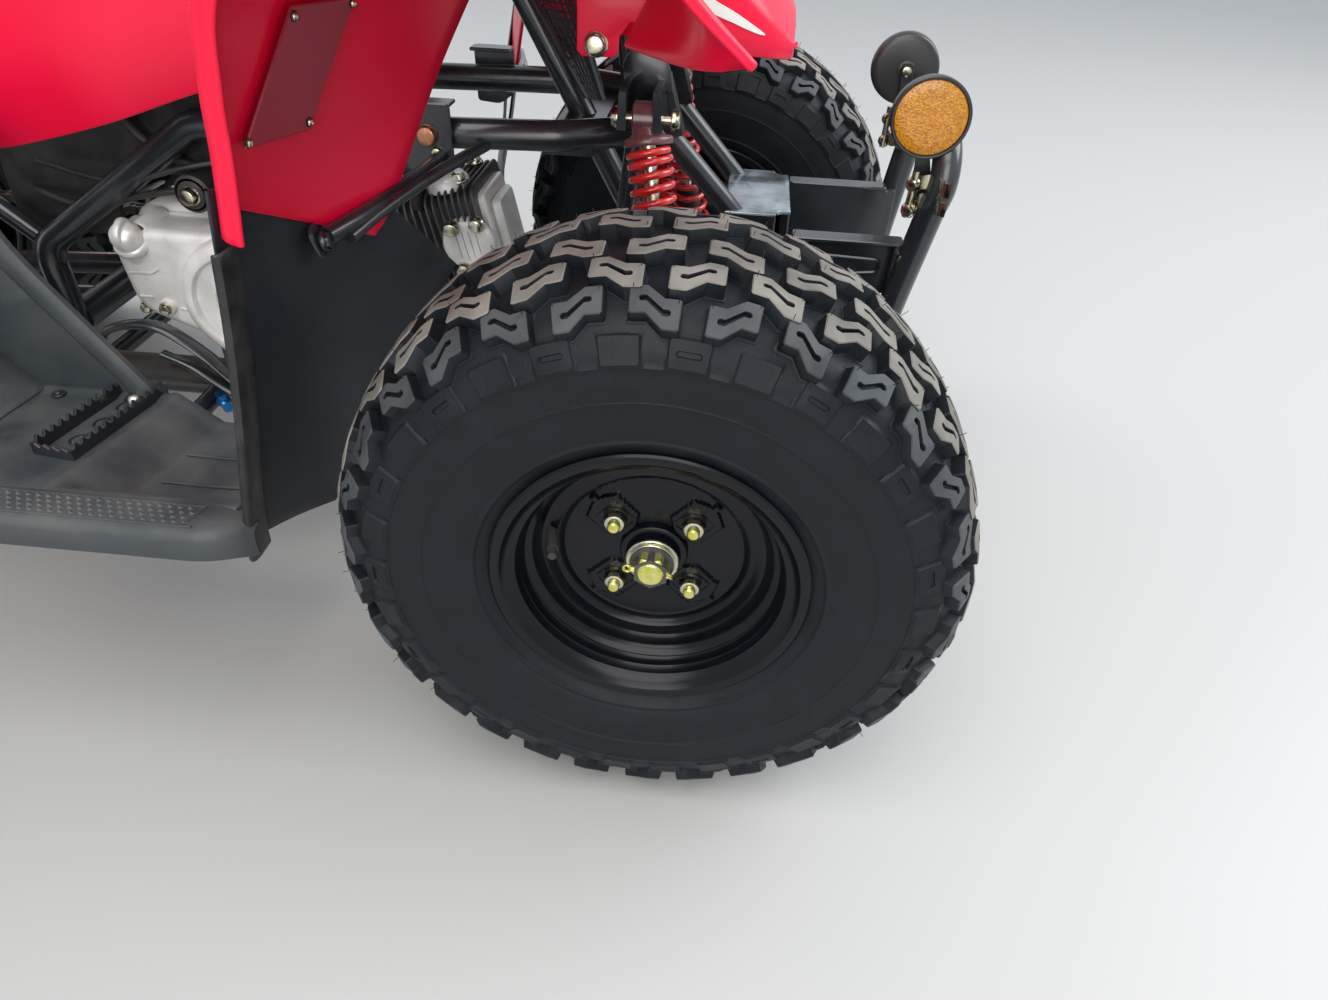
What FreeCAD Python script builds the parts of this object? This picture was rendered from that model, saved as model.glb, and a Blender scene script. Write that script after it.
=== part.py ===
"""Youth sport quad bike: four knobbly tyres, tubular steel frame, air-cooled single, red plastic bodywork.

+X is forward, +Y is the rider's left, +Z is up. The origin is on the ground, half way between the axles.
All sizes are in millimetres. Pieces that come in pairs are drawn on the right side and mirrored.
"""
import FreeCAD
import Part
import math
import os

V = FreeCAD.Vector

# Wheels and stance
WHEELBASE = 1050.0
FRONT_X = WHEELBASE / 2
REAR_X = -WHEELBASE / 2
FRONT_TRACK = 690.0
REAR_TRACK = 640.0
FRONT_TYRE_R = 241.5
FRONT_TYRE_WIDTH = 178.0
REAR_TYRE_R = 228.5
REAR_TYRE_WIDTH = 238.0
FRONT_LUGS = 28
REAR_LUGS = 18
LUG_HEIGHT = 11.0
GROOVE_HALF = 2.0
BEAD_R = 101.5
FLANGE_R = 118.0
RIM_WALL = 3.0
FRONT_RIM_WIDTH = 152.0
REAR_RIM_WIDTH = 208.0
FRONT_DISC_OFFSET = 34.0
REAR_DISC_OFFSET = 44.0
WHEEL_BORE_R = 27.0
STUD_CIRCLE_R = 42.0
STUD_R = 5.0
STUD_COUNT = 4

# Steering and front suspension
KINGPIN_Y = 250.0
STEER_LIMIT = 24.0
UPPER_BALL_Z = 292.0
UPPER_PIVOTS = [(FRONT_X - 80.0, -112.0, 300.0), (FRONT_X + 58.0, -100.0, 300.0)]
LOWER_PIVOTS = [(FRONT_X - 72.0, -124.0, 196.0), (FRONT_X + 72.0, -118.0, 200.0)]
LOWER_BALL_Z = 190.0
KINGPIN_BOSS_R = 13.0
BALL_HALF = 12.0
SPINDLE_R = 10.0
HUB_NOSE_R = 21.0
DRUM_R = 62.0
RUNNING_GAP = 5.0
FIT_GAP = 0.3
BORE_GAP = 0.05
STEER_ARM = 52.0
STUD_SPREAD = 14.0
PIN_OFFSET = 6.0
ROD_PIN_R = 5.0
ROD_EYE_GAP = 1.0
TIE_ROD_R = 6.0

# Frame
RAIL_R = 13.0
TUBE_R = 10.0
RAIL_Z = 186.0
RAIL_Y = 100.0
TOWER_TOP = (FRONT_X - 42.0, 57.0, 478.0)
BEND_R = 45.0
SEAT_RAIL_Z = 640.0
REAR_SHOCK_TOP = (-200.0, 0.0, 604.0)
REAR_SHOCK_FOOT = (-340.0, 0.0, 300.0)

# Bodywork
SKIN = 4.0
FLOOR_Z = 252.0
BOARD_OUT_Y = 420.0
GRIP_RIB = 7.0
GRIP_RIBS = 8


def once(maker):
    """A maker whose shape is made at its first use and kept."""
    kept = []

    def shape():
        if not kept:
            kept.append(maker())
        return kept[0]

    return shape


def mirrored(shape):
    """The left-hand twin of a right-hand shape."""
    return shape.mirror(V(0, 0, 0), V(0, 1, 0))


def pair(shape):
    """A right-hand shape and its left-hand twin as one compound of separate solids."""
    return Part.makeCompound([shape, mirrored(shape)])


def fused(shapes):
    """One solid, or several, with the seams between flat faces removed."""
    first, rest = shapes[0], shapes[1:]
    return (first.multiFuse(rest) if rest else first).removeSplitter()


def rounded_path(points, radius):
    """A wire of straight runs joined by tangent arcs."""
    pts = [V(*p) for p in points]
    edges, start = [], pts[0]
    for before, corner, after in zip(pts, pts[1:], pts[2:]):
        u = (before - corner).normalize()
        w = (after - corner).normalize()
        half = u.getAngle(w) / 2
        reach = radius / math.tan(half)
        first, last = corner + u * reach, corner + w * reach
        middle = corner + (u + w).normalize() * (radius / math.sin(half) - radius)
        if (first - start).Length > 0.01:
            edges.append(Part.LineSegment(start, first).toShape())
        edges.append(Part.Arc(first, middle, last).toShape())
        start = last
    edges.append(Part.LineSegment(start, pts[-1]).toShape())
    return Part.Wire(edges)


def tube(points, radius, bend=BEND_R):
    """A round bar bent along the points."""
    path = rounded_path(points, bend)
    direction = V(*points[1]) - V(*points[0])
    ring = Part.Wire(Part.makeCircle(radius, V(*points[0]), direction))
    return path.makePipeShell([ring], True, False)


def rod(start, end, radius):
    """A straight round bar."""
    a, b = V(*start), V(*end)
    return Part.makeCylinder(radius, (b - a).Length, a, b - a)


def side_plate(outline, y0, y1):
    """A flat plate cut to an (x, z) outline, from y0 to y1."""
    wire = Part.makePolygon([V(x, y0, z) for x, z in outline + outline[:1]])
    return Part.Face(wire).extrude(V(0, y1 - y0, 0))


def revolved(profile, centre):
    """A solid turned about the Y axis through centre, from (y offset, radius) points."""
    cx, cy, cz = centre
    wire = Part.makePolygon([V(cx, cy + y, cz + r) for y, r in profile + profile[:1]])
    return Part.Face(wire).revolve(V(cx, cy, cz), V(0, 1, 0), 360)


def hexagon_nut(across, height, centre, along):
    """A hexagon prism whose axis starts at centre."""
    axis = V(*along).normalize()
    side = axis.cross(V(1, 0, 0)) if abs(axis.x) < 0.9 else axis.cross(V(0, 0, 1))
    side = side.normalize()
    up = axis.cross(side)
    corner = across / math.sqrt(3)
    ring = []
    for i in range(7):
        a = math.radians(60 * i)
        ring.append(V(*centre) + side * (corner * math.cos(a)) + up * (corner * math.sin(a)))
    return Part.Face(Part.makePolygon(ring)).extrude(axis * height)


def offset_line(points, thickness):
    """The 2-D polyline moved sideways by thickness, with mitred corners."""
    normals = []
    for (x0, y0), (x1, y1) in zip(points, points[1:]):
        length = math.hypot(x1 - x0, y1 - y0)
        normals.append(((y1 - y0) / length, -(x1 - x0) / length))
    moved = []
    for i, (x, y) in enumerate(points):
        a = normals[max(i - 1, 0)]
        b = normals[min(i, len(normals) - 1)]
        mx, my = a[0] + b[0], a[1] + b[1]
        scale = thickness * 2 / (mx * mx + my * my)
        moved.append((x + mx * scale, y + my * scale))
    return moved


def skin_loft(stations, thickness, ruled=False):
    """A moulded sheet lofted through stations.

    Each station is (origin, u, v, line): a polyline in the plane of u and v, which is the outer face.
    """
    wires = []
    for origin, u, v, line in stations:
        loop = line + offset_line(line, thickness)[::-1]
        pts = [V(*origin) + V(*u) * a + V(*v) * b for a, b in loop]
        wires.append(Part.makePolygon(pts + pts[:1]))
    return Part.makeLoft(wires, True, ruled)


# Tyres and rims

def lugged_ring(tread, floor, lower, lugs, centre):
    """A tyre about the Y axis whose lugs alternate from one half of the tread to the other, across a groove.

    tread and floor are one half's (y, radius) points along the lugs' tops and the grooves between, which
    meet at their last point. lower runs on from there round the bead to the other side's meeting point.
    """
    cx, cy, cz = centre
    sectors = 2 * lugs

    def corner(y, r, i, span=1):
        a = 2 * math.pi * (i + 0.5) / sectors - math.pi / 2
        reach = r / math.cos(math.pi * span / sectors)
        return V(cx + reach * math.cos(a), cy + y, cz + reach * math.sin(a))

    faces = []

    def face(points, turned_over=False):
        ring = points[::-1] if turned_over else points
        faces.append(Part.Face(Part.makePolygon(ring + ring[:1])))

    for i in range(sectors):
        for side in (-1, 1):
            raised = (i % 2 == 0) == (side == -1)
            line = [(side * y, r) for y, r in (tread if raised else floor)]
            for (y0, r0), (y1, r1) in zip(line, line[1:]):
                face([corner(y0, r0, i), corner(y1, r1, i), corner(y1, r1, i + 1), corner(y0, r0, i + 1)], side == -1)
            for (y0, r0), (y1, r1), (_, f0), (_, f1) in zip(tread, tread[1:], floor, floor[1:]):
                ring = [corner(side * y0, r0, i), corner(side * y1, r1, i), corner(side * y1, f1, i)]
                if r1 == f1:
                    ring.pop()
                face(ring + [corner(side * y0, f0, i)], raised == (side == 1))
            (y0, top), (_, low) = tread[0], floor[0]
            if raised:
                face([corner(side * y0, r, k) for r, k in ((top, i), (low, i), (low, i + 1), (top, i + 1))], side == 1)
        face([corner(y0, low, i), corner(-y0, low, i), corner(-y0, low, i + 1), corner(y0, low, i + 1)], True)
    # below the tread one facet spans a lug and a groove
    for i in range(0, sectors, 2):
        for (y0, r0), (y1, r1) in zip(lower[1:-1], lower[2:-1]):
            face([corner(y0, r0, i, 2), corner(y1, r1, i, 2), corner(y1, r1, i + 2, 2), corner(y0, r0, i + 2, 2)])
        for (y0, r0), (y1, r1), over in (lower[:2] + [False], lower[:-3:-1] + [True]):
            near, far = corner(y1, r1, i, 2), corner(y1, r1, i + 2, 2)
            face([corner(y0, r0, i), near, corner(y0, r0, i + 1)], over)
            face([corner(y0, r0, i + 1), near, far], over)
            face([corner(y0, r0, i + 1), far, corner(y0, r0, i + 2)], over)
    return Part.makeSolid(Part.makeShell(faces))


def tyre(radius, width, rim_width, lugs, centre):
    """A balloon tyre with block lugs on its tread."""
    half, seat = width / 2, rim_width / 2 - RIM_WALL
    edge, brink = (half * 0.90, radius * 0.905), half * 0.58
    tread = [(GROOVE_HALF, radius), (brink, radius * 0.985), edge]
    floor = [(y, r - LUG_HEIGHT) for y, r in tread[:2]] + [edge]
    down = [edge, (half, radius * 0.76), (seat - 0.5, FLANGE_R + 4), (seat - 1, BEAD_R + 1),
            (seat - 16, BEAD_R + 1), (half - 12, radius * 0.72)]
    lower = down + [(0, radius * 0.90)] + [(-y, r) for y, r in down[::-1]]
    return lugged_ring(tread, floor, lower, lugs, centre)


def rim(rim_width, disc_offset, centre, outward):
    """A pressed steel rim: two flanges, a drop centre and a dished disc with its bolt holes."""
    half = rim_width / 2
    well_r = BEAD_R - 19
    outer = [
        (-half, FLANGE_R), (-half + RIM_WALL, FLANGE_R), (-half + RIM_WALL, BEAD_R),
        (-half + 24, BEAD_R - 1), (-half + 36, well_r), (half - 36, well_r),
        (half - 24, BEAD_R - 1), (half - RIM_WALL, BEAD_R), (half - RIM_WALL, FLANGE_R), (half, FLANGE_R),
        (half, BEAD_R - RIM_WALL), (half - 25, BEAD_R - 1 - RIM_WALL), (half - 37, well_r - RIM_WALL),
        (-half + 37, well_r - RIM_WALL), (-half + 25, BEAD_R - 1 - RIM_WALL), (-half, BEAD_R - RIM_WALL),
    ]
    barrel = revolved([(y * outward, r) for y, r in outer], centre)
    d = disc_offset
    dish = [
        (d, WHEEL_BORE_R), (d, 58), (d - 12, 70), (d - 14, well_r - RIM_WALL / 2),
        (d - 18, well_r - RIM_WALL / 2), (d - 16, 67), (d - 4, 56), (d - 4, WHEEL_BORE_R),
    ]
    disc = revolved([(y * outward, r) for y, r in dish], centre)
    wheel = barrel.fuse(disc)
    return wheel.cut(Part.makeCompound(stud_circle(centre, outward, d - 30, d + 20, STUD_R + 0.5)))


def stud_circle(centre, outward, start, end, radius):
    """Round bars on the stud circle, from start to end outwards of the wheel's middle."""
    cx, cy, cz = centre
    bars = []
    for i in range(STUD_COUNT):
        a = math.pi / STUD_COUNT + 2 * math.pi * i / STUD_COUNT
        x, z = cx + STUD_CIRCLE_R * math.cos(a), cz + STUD_CIRCLE_R * math.sin(a)
        bars.append(rod((x, cy + start * outward, z), (x, cy + end * outward, z), radius))
    return bars


def wheel_nuts(centre, outward, seat):
    """Flanged hexagon nuts on the stud circle."""
    cx, cy, cz = centre
    nuts = []
    for i in range(STUD_COUNT):
        a = math.pi / STUD_COUNT + 2 * math.pi * i / STUD_COUNT
        x, z = cx + STUD_CIRCLE_R * math.cos(a), cz + STUD_CIRCLE_R * math.sin(a)
        y = cy + seat * outward
        nuts.append(rod((x, y, z), (x, y + 3 * outward, z), 10))
        nuts.append(hexagon_nut(14, 11, (x, y, z), (0, outward, 0)))
    return nuts


FRONT_AXLE = (FRONT_X, -FRONT_TRACK / 2, FRONT_TYRE_R)
REAR_AXLE = (REAR_X, -REAR_TRACK / 2, REAR_TYRE_R)
RIGHT = -1


@once
def front_hub():
    """Turns on the spindle: flange, drum, nose, studs and nuts."""
    cx, cy, cz = FRONT_AXLE
    back = FRONT_DISC_OFFSET - 4
    bore = SPINDLE_R + BORE_GAP
    turned = [
        (back - 8, bore), (back - 8, 30), (back - 26, 30), (back - 26, DRUM_R), (back - 50, DRUM_R),
        (back - 50, DRUM_R - 6), (back - 32, DRUM_R - 6), (back - 32, 30), (back - 46, 24), (back - 46, bore),
    ]
    turned = [(y * RIGHT, r) for y, r in turned]
    flange = [(back, 56), (back - 8, 56), (back - 8, bore), (back + 16, bore), (back + 16, HUB_NOSE_R), (back, HUB_NOSE_R)]
    flange = [(y * RIGHT, r) for y, r in flange]
    parts = [revolved(turned, FRONT_AXLE), revolved(flange, FRONT_AXLE)]
    parts += stud_circle(FRONT_AXLE, RIGHT, back - 4, back + 26, STUD_R)
    parts += wheel_nuts(FRONT_AXLE, RIGHT, back + 4 + BORE_GAP)
    return fused(parts)


@once
def knuckle():
    """Kingpin boss with its two ball-joint ears, spindle, brake backing plate and steering arm."""
    cx, cy, cz = FRONT_AXLE
    pin_y = -KINGPIN_Y
    post = rod((cx, pin_y, LOWER_BALL_Z + BALL_HALF + FIT_GAP), (cx, pin_y, UPPER_BALL_Z - BALL_HALF - FIT_GAP),
               KINGPIN_BOSS_R)
    drum_end = cy + (FRONT_DISC_OFFSET - 4 - 50) * RIGHT
    boss = rod((cx, pin_y, cz), (cx, drum_end + RUNNING_GAP, cz), 24)
    plate = rod((cx, drum_end + RUNNING_GAP + 3, cz), (cx, drum_end + RUNNING_GAP, cz), DRUM_R + 1)
    spindle = rod((cx, pin_y, cz), (cx, cy + (FRONT_DISC_OFFSET + 26) * RIGHT, cz), SPINDLE_R)
    washer_y = cy + (FRONT_DISC_OFFSET + 12 + FIT_GAP) * RIGHT
    washer = rod((cx, washer_y, cz), (cx, washer_y - 2.5, cz), 17)
    nut = hexagon_nut(24, 11, (cx, washer_y - 2.5, cz), (0, RIGHT, 0))
    arm_y = pin_y - PIN_OFFSET
    arm = side_slab([(cx - STEER_ARM - 12, arm_y - 11), (cx - STEER_ARM - 12, arm_y + 11), (cx - 8, pin_y + 14),
                     (cx - 8, pin_y - 14)], cz - 20, cz - 10)
    eye = rod((cx - STEER_ARM, arm_y, cz - 10), (cx - STEER_ARM, arm_y, cz + 13), ROD_PIN_R)
    return fused([post, boss, plate, spindle, washer, nut, arm, eye])


def side_slab(outline, z0, z1):
    """A flat plate cut to an (x, y) outline, from z0 to z1."""
    wire = Part.makePolygon([V(x, y, z0) for x, y in outline + outline[:1]])
    return Part.Face(wire).extrude(V(0, 0, z1 - z0))


# Steering

COLUMN_RAKE = 28.0
COLUMN_FOOT = (FRONT_X, 0.0, FRONT_TYRE_R + 6)
COLUMN_AXIS = (-math.sin(math.radians(COLUMN_RAKE)), 0.0, math.cos(math.radians(COLUMN_RAKE)))
COLUMN_LENGTH = 712.0
COLUMN_FOOT_LENGTH = 46.0
COLUMN_R = 12.0
BAR_R = 11.0
BAR_HALF = 355.0


def on_column(distance, forward=0.0, side=0.0):
    """A point in the steering column's frame: along the column, forward of it and to its left."""
    ax, _, az = COLUMN_AXIS
    return (COLUMN_FOOT[0] + ax * distance + az * forward, side, COLUMN_FOOT[2] + az * distance - ax * forward)


COLUMN_TOP_Z = on_column(COLUMN_LENGTH)[2]
RIDGE_Z = COLUMN_TOP_Z - 64.0


@once
def steering_column():
    """The column, the pitman plate at its foot with two studs, and the bar clamp on its top."""
    shaft = rod(on_column(-COLUMN_FOOT_LENGTH), on_column(COLUMN_LENGTH), COLUMN_R)
    ax = V(*COLUMN_AXIS)
    outline = [(16, -18), (16, 18), (-STEER_ARM - 12, 28), (-STEER_ARM - 12, -28)]
    ring = [V(*on_column(0, f, s)) for f, s in outline]
    plate = Part.Face(Part.makePolygon(ring + ring[:1])).extrude(ax * 8)
    studs = [rod(on_column(8, -STEER_ARM, s), on_column(22, -STEER_ARM, s), ROD_PIN_R)
             for s in (-STUD_SPREAD, STUD_SPREAD)]
    clamp_ring = [V(*on_column(COLUMN_LENGTH - 4, f, s)) for f, s in [(-20, -55), (-20, 55), (20, 55), (20, -55)]]
    clamp = Part.Face(Part.makePolygon(clamp_ring + clamp_ring[:1])).extrude(ax * 34)
    bar = rod(on_column(COLUMN_LENGTH + 16, 0, -80), on_column(COLUMN_LENGTH + 16, 0, 80), BAR_R)
    return fused([shaft, plate, clamp] + studs).cut(bar)


@once
def handlebar():
    """A bent tube: level in the clamp, rising to the risers, then sweeping back to the grips."""
    points = [
        on_column(COLUMN_LENGTH + 62, -95, -BAR_HALF), on_column(COLUMN_LENGTH + 72, -48, -215),
        on_column(COLUMN_LENGTH + 16, 0, -95), on_column(COLUMN_LENGTH + 16, 0, 95),
        on_column(COLUMN_LENGTH + 72, -48, 215), on_column(COLUMN_LENGTH + 62, -95, BAR_HALF),
    ]
    return tube(points, BAR_R, 40)


def along(start, end, share):
    """The point a share of the way from start to end."""
    return tuple(a + (b - a) * share for a, b in zip(start, end))


@once
def grips():
    """Rubber grips with an inner collar, over the bar's ends."""
    inner, end = on_column(COLUMN_LENGTH + 72, -48, -215), on_column(COLUMN_LENGTH + 62, -95, -BAR_HALF)
    grip = rod(along(inner, end, 0.22), along(inner, end, 1.03), 16)
    collar = rod(along(inner, end, 0.22), along(inner, end, 0.26), 24)
    bar = rod(along(inner, end, 0.15), end, BAR_R)
    return pair(fused([grip, collar]).cut(bar))


@once
def brake_levers():
    """A clamp perch inboard of each grip and its lever in front of the grip."""
    inner, end = on_column(COLUMN_LENGTH + 72, -48, -215), on_column(COLUMN_LENGTH + 62, -95, -BAR_HALF)
    bar = rod(inner, end, BAR_R)
    direction = V(*end) - V(*inner)
    forward = V(*COLUMN_AXIS).cross(V(0, 1, 0)).normalize() * -1
    forward = V(abs(forward.x), 0, abs(forward.z))
    perch_from, perch_to = along(inner, end, 0.06), along(inner, end, 0.17)
    perch = rod(perch_from, perch_to, 18)
    pivot = V(*along(inner, end, 0.12)) + forward * 34
    block = rod(tuple(V(*along(inner, end, 0.115))), tuple(pivot), 9)
    tip = V(*along(inner, end, 0.86)) + forward * 56
    lever = rod(tuple(pivot), tuple(tip), 5.5)
    return pair(fused([perch, block, lever]).cut(bar))


@once
def instrument_pod():
    """The padded cover over the bar clamp."""
    ring = [(-34, -62), (-34, 62), (30, 50), (46, 20), (46, -20), (30, -50)]
    pts = [V(*on_column(COLUMN_LENGTH + 31, f, s)) for f, s in ring]
    top = [V(*on_column(COLUMN_LENGTH + 70, f * 0.8, s * 0.8)) for f, s in ring]
    body = Part.makeLoft([Part.makePolygon(pts + pts[:1]), Part.makePolygon(top + top[:1])], True, True)
    return body


@once
def tie_rod():
    """From the pitman plate's stud to the knuckle's pin, whose eye is wide enough for the pin's drift."""
    inner = V(*on_column(15, -STEER_ARM, -STUD_SPREAD))
    outer = V(FRONT_X - STEER_ARM, -KINGPIN_Y - PIN_OFFSET, FRONT_TYRE_R - 2)
    lock = math.radians(STEER_LIMIT)
    drift = (STUD_SPREAD * COLUMN_AXIS[2] - PIN_OFFSET) * math.sin(lock) + 1
    hole_r = ROD_PIN_R + drift + ROD_EYE_GAP
    line = (outer - inner).normalize()
    body = rod(tuple(inner + line * 9), tuple(outer - line * (hole_r + 3)), TIE_ROD_R)
    up = V(*COLUMN_AXIS)
    eye_in = rod(tuple(inner - up * 5), tuple(inner + up * 5), 11)
    eye_out = rod(tuple(outer - V(0, 0, 5)), tuple(outer + V(0, 0, 5)), hole_r + 5)
    hole_in = rod(tuple(inner - up * 9), tuple(inner + up * 9), ROD_PIN_R + FIT_GAP)
    hole_out = rod(tuple(outer - V(0, 0, 9)), tuple(outer + V(0, 0, 9)), hole_r)
    return fused([body, eye_in, eye_out]).cut(Part.makeCompound([hole_in, hole_out]))


# Frame

@once
def lower_rails():
    """The two bottom rails, from the bumper's foot back to the swingarm pivot."""
    return pair(tube([
        (FRONT_X + 176, -74, 322), (FRONT_X + 92, -86, RAIL_Z), (FRONT_X - 60, -RAIL_Y, RAIL_Z),
        (-112, -RAIL_Y, RAIL_Z),
    ], RAIL_R, 60))


@once
def upper_rails():
    """The two top rails, from the shock tower back and down to the swingarm pivot."""
    return pair(tube([
        (FRONT_X - 62, -74, 466), (FRONT_X - 120, -RAIL_Y, 466), (78, -RAIL_Y - 6, 458),
        (-112, -RAIL_Y, 330), (-112, -RAIL_Y, RAIL_Z + RAIL_R + FIT_GAP),
    ], RAIL_R, 40))


@once
def seat_rails():
    """The rear subframe that carries the seat: rails and their diagonal stays."""
    rail = tube([(120, -94, 462), (40, -88, SEAT_RAIL_Z), (-560, -80, SEAT_RAIL_Z + 24)], TUBE_R, 60)
    stay = tube([(-118, -96, 338), (-200, -88, 400), (-450, -82, SEAT_RAIL_Z + 14)], TUBE_R - 1, 60)
    x, _, z = REAR_SHOCK_TOP
    bars = [rod((x, -80, SEAT_RAIL_Z + 8), (x, 80, SEAT_RAIL_Z + 8), TUBE_R),
            rod((-556, -80, SEAT_RAIL_Z + 24), (-556, 80, SEAT_RAIL_Z + 24), TUBE_R)]
    ears = [side_plate([(x - 16, z - 12), (x + 16, z - 12), (x + 12, SEAT_RAIL_Z + 8), (x - 12, SEAT_RAIL_Z + 8)], y0, y0 + 4)
            for y0 in (-16, 12)]
    side = fused([rail, stay]).cut(upper_rails())
    return fused([side, mirrored(side)] + bars + ears)


@once
def front_posts():
    """The posts that carry the wishbones, the down tubes and the shock tower's top on each side."""
    tx, ty, tz = TOWER_TOP
    rear_post = rod((FRONT_X - 86, -RAIL_Y + 8, RAIL_Z + 6), (tx - 10, -ty, tz), TUBE_R)
    front_post = rod((FRONT_X + 66, -84, RAIL_Z + 10), (FRONT_X + 40, -54, 392), TUBE_R)
    brackets = []
    for x, y, z in UPPER_PIVOTS:
        brackets += [Part.makeBox(4, 46, 26, V(x + dx, y - 8, z - 13)) for dx in (-20, 16)]
    prop = rod((tx - 20, -ty, tz + 20), (FRONT_X - 72, -ty, 606), 7)
    beam = rod((FRONT_X - 72, -102, 600), (FRONT_X - 72, 0, 600), 7)
    down_tube = rod((tx - 4, -ty, tz + 4), (FRONT_X + 46, -53, 384), TUBE_R)
    tower = side_plate([(tx - 34, tz - 22), (tx - 20, tz + 34), (tx + 16, tz + 34), (tx + 30, tz - 14)], -ty - 12, -ty + 12)
    ears = [side_plate([(tx - 22, tz + 4), (tx - 20, tz + 34), (tx + 14, tz + 34), (tx + 16, tz + 4)], -ty - 12 - 60, -ty - 12)]
    cut = Part.makeBox(22, 70, 60, V(tx - 14, -ty - 74, tz - 4))
    ear = ears[0].cut(cut)
    side = fused([rear_post, front_post, down_tube, tower, ear, prop, beam] + brackets)
    side = side.cut(Part.makeCompound([lower_rails(), upper_rails(), front_arms()]))
    return fused([side, mirrored(side)])


@once
def crossbars():
    """Short tubes across the frame, and the pressed saddle plate over the down tubes."""
    rows = [
        # x, half width, z, radius
        (FRONT_X + 84, 80, RAIL_Z + 6, TUBE_R),
        (FRONT_X + 26, 92, RAIL_Z + 4, TUBE_R),
        (FRONT_X - 86, RAIL_Y, RAIL_Z, TUBE_R),
        (-112, RAIL_Y, RAIL_Z + 4, TUBE_R),
        (-84, RAIL_Y + 2, 349, TUBE_R),
        (78, RAIL_Y + 4, 456, TUBE_R),
    ]
    bars = [rod((x, -half, z), (x, half, z), radius) for x, half, z, radius in rows]
    bars += [Part.makeBox(14, 190, 50, V(x, -95, RAIL_Z + 2)) for x in (36, 134)]
    bars.append(Part.makeBox(44, 200, 12, V(on_column(236)[0] - 22, -100, on_column(236)[2] - 6)))
    bars[1] = fused([bars[1], rod(on_column(-62), on_column(-FIT_GAP), 20)])
    keep = Part.makeCompound([lower_rails(), upper_rails(), front_posts(), engine_case(), saddle(),
                              rod(on_column(-COLUMN_FOOT_LENGTH - 2), on_column(400), COLUMN_R + BORE_GAP)])
    return Part.makeCompound([bar.cut(keep) for bar in bars])


@once
def saddle():
    """The pressed channel over the down tubes' feet, which the bumper arms bolt to."""
    top = [(FRONT_X + 30, 398), (FRONT_X + 92, 398), (FRONT_X + 92, 340), (FRONT_X + 88, 340), (FRONT_X + 88, 394),
           (FRONT_X + 30, 394)]
    plate = side_plate(top, -66, 66)
    return plate.cut(front_posts())


@once
def bumper():
    """Two bent uprights joined at the top, with the flat arms that bolt to the frame."""
    foot_x, top_x = FRONT_X + 196, FRONT_X + 219
    left_foot = (foot_x, 80, 318)
    points = [(foot_x, -80, 318), (top_x, -98, 462), (top_x - 6, -60, 486), (top_x - 6, 60, 486), (top_x, 98, 462), left_foot]
    loop = tube(points, 12.5, 26)
    arm = side_plate([(FRONT_X + 94, 386), (FRONT_X + 200, 384), (FRONT_X + 196, 330), (FRONT_X + 150, 322),
                      (FRONT_X + 94, 342)], -72, -68)
    slot = side_plate([(FRONT_X + 116, 366), (FRONT_X + 176, 364), (FRONT_X + 176, 356), (FRONT_X + 116, 358)], -80, -60)
    foot = Part.makeBox(18, 14, 60, V(foot_x - 10, -82, 320))
    arm = fused([arm, foot]).cut(slot)
    return fused([loop, arm, mirrored(arm)]).cut(lower_rails())


REFLECTOR = (FRONT_X + 196, 88.0, 503.0)
REFLECTOR_R = 33.0


@once
def reflector_housings():
    """Round black cups on the bumper's uprights, facing sideways, each on its bent strap."""
    x, y, z = REFLECTOR
    cup = rod((x, -y + 10, z), (x, -y - 2, z), REFLECTOR_R)
    recess = rod((x, -y, z), (x, -y - 4, z), REFLECTOR_R - 3)
    strap = side_plate([(x - 7, z - 8), (x + 7, z - 8), (x + 12, z - 62), (x - 2, z - 62)], -y + 10, -y + 13)
    return pair(fused([cup, strap]).cut(recess).cut(bumper()))


@once
def reflector_lenses():
    """Amber lenses in the cups."""
    x, y, z = REFLECTOR
    return pair(rod((x, -y, z), (x, -y - 4, z), REFLECTOR_R - 3 - BORE_GAP)).cut(bumper())


# Front suspension

SHOCK_TOP = (FRONT_X - 42.0, -110.0, 496.0)
SHOCK_FOOT = (FRONT_X + 4.0, -190.0, 208.0)


def wishbone(ball, pivots, radius):
    """A welded A of two tubes with a ball-joint boss at its point and a bush at each foot."""
    x, y, z = ball
    boss = rod((x, y, z - BALL_HALF), (x, y, z + BALL_HALF), 13)
    legs = [rod((x, y + 4, z), p, radius) for p in pivots]
    bushes = [rod((p[0] - 16, p[1], p[2]), (p[0] + 16, p[1], p[2]), radius + 4) for p in pivots]
    return [boss] + legs + bushes


@once
def front_arms():
    """Upper and lower wishbones of both sides."""
    upper = fused(wishbone((FRONT_X, -KINGPIN_Y, UPPER_BALL_Z), UPPER_PIVOTS, 8))
    lower_parts = wishbone((FRONT_X, -KINGPIN_Y, LOWER_BALL_Z), LOWER_PIVOTS, 9)
    x, y, z = SHOCK_FOOT
    cross = rod((FRONT_X - 36, y, LOWER_BALL_Z + 1), (FRONT_X + 36, y, LOWER_BALL_Z + 1), 6)
    ears = [Part.makeBox(4, 22, z + 11 - LOWER_BALL_Z, V(x + dx, y - 11, LOWER_BALL_Z)) for dx in (-16, 12)]
    lower = fused(lower_parts + [cross] + ears)
    return pair(Part.makeCompound([upper, lower]))


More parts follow.
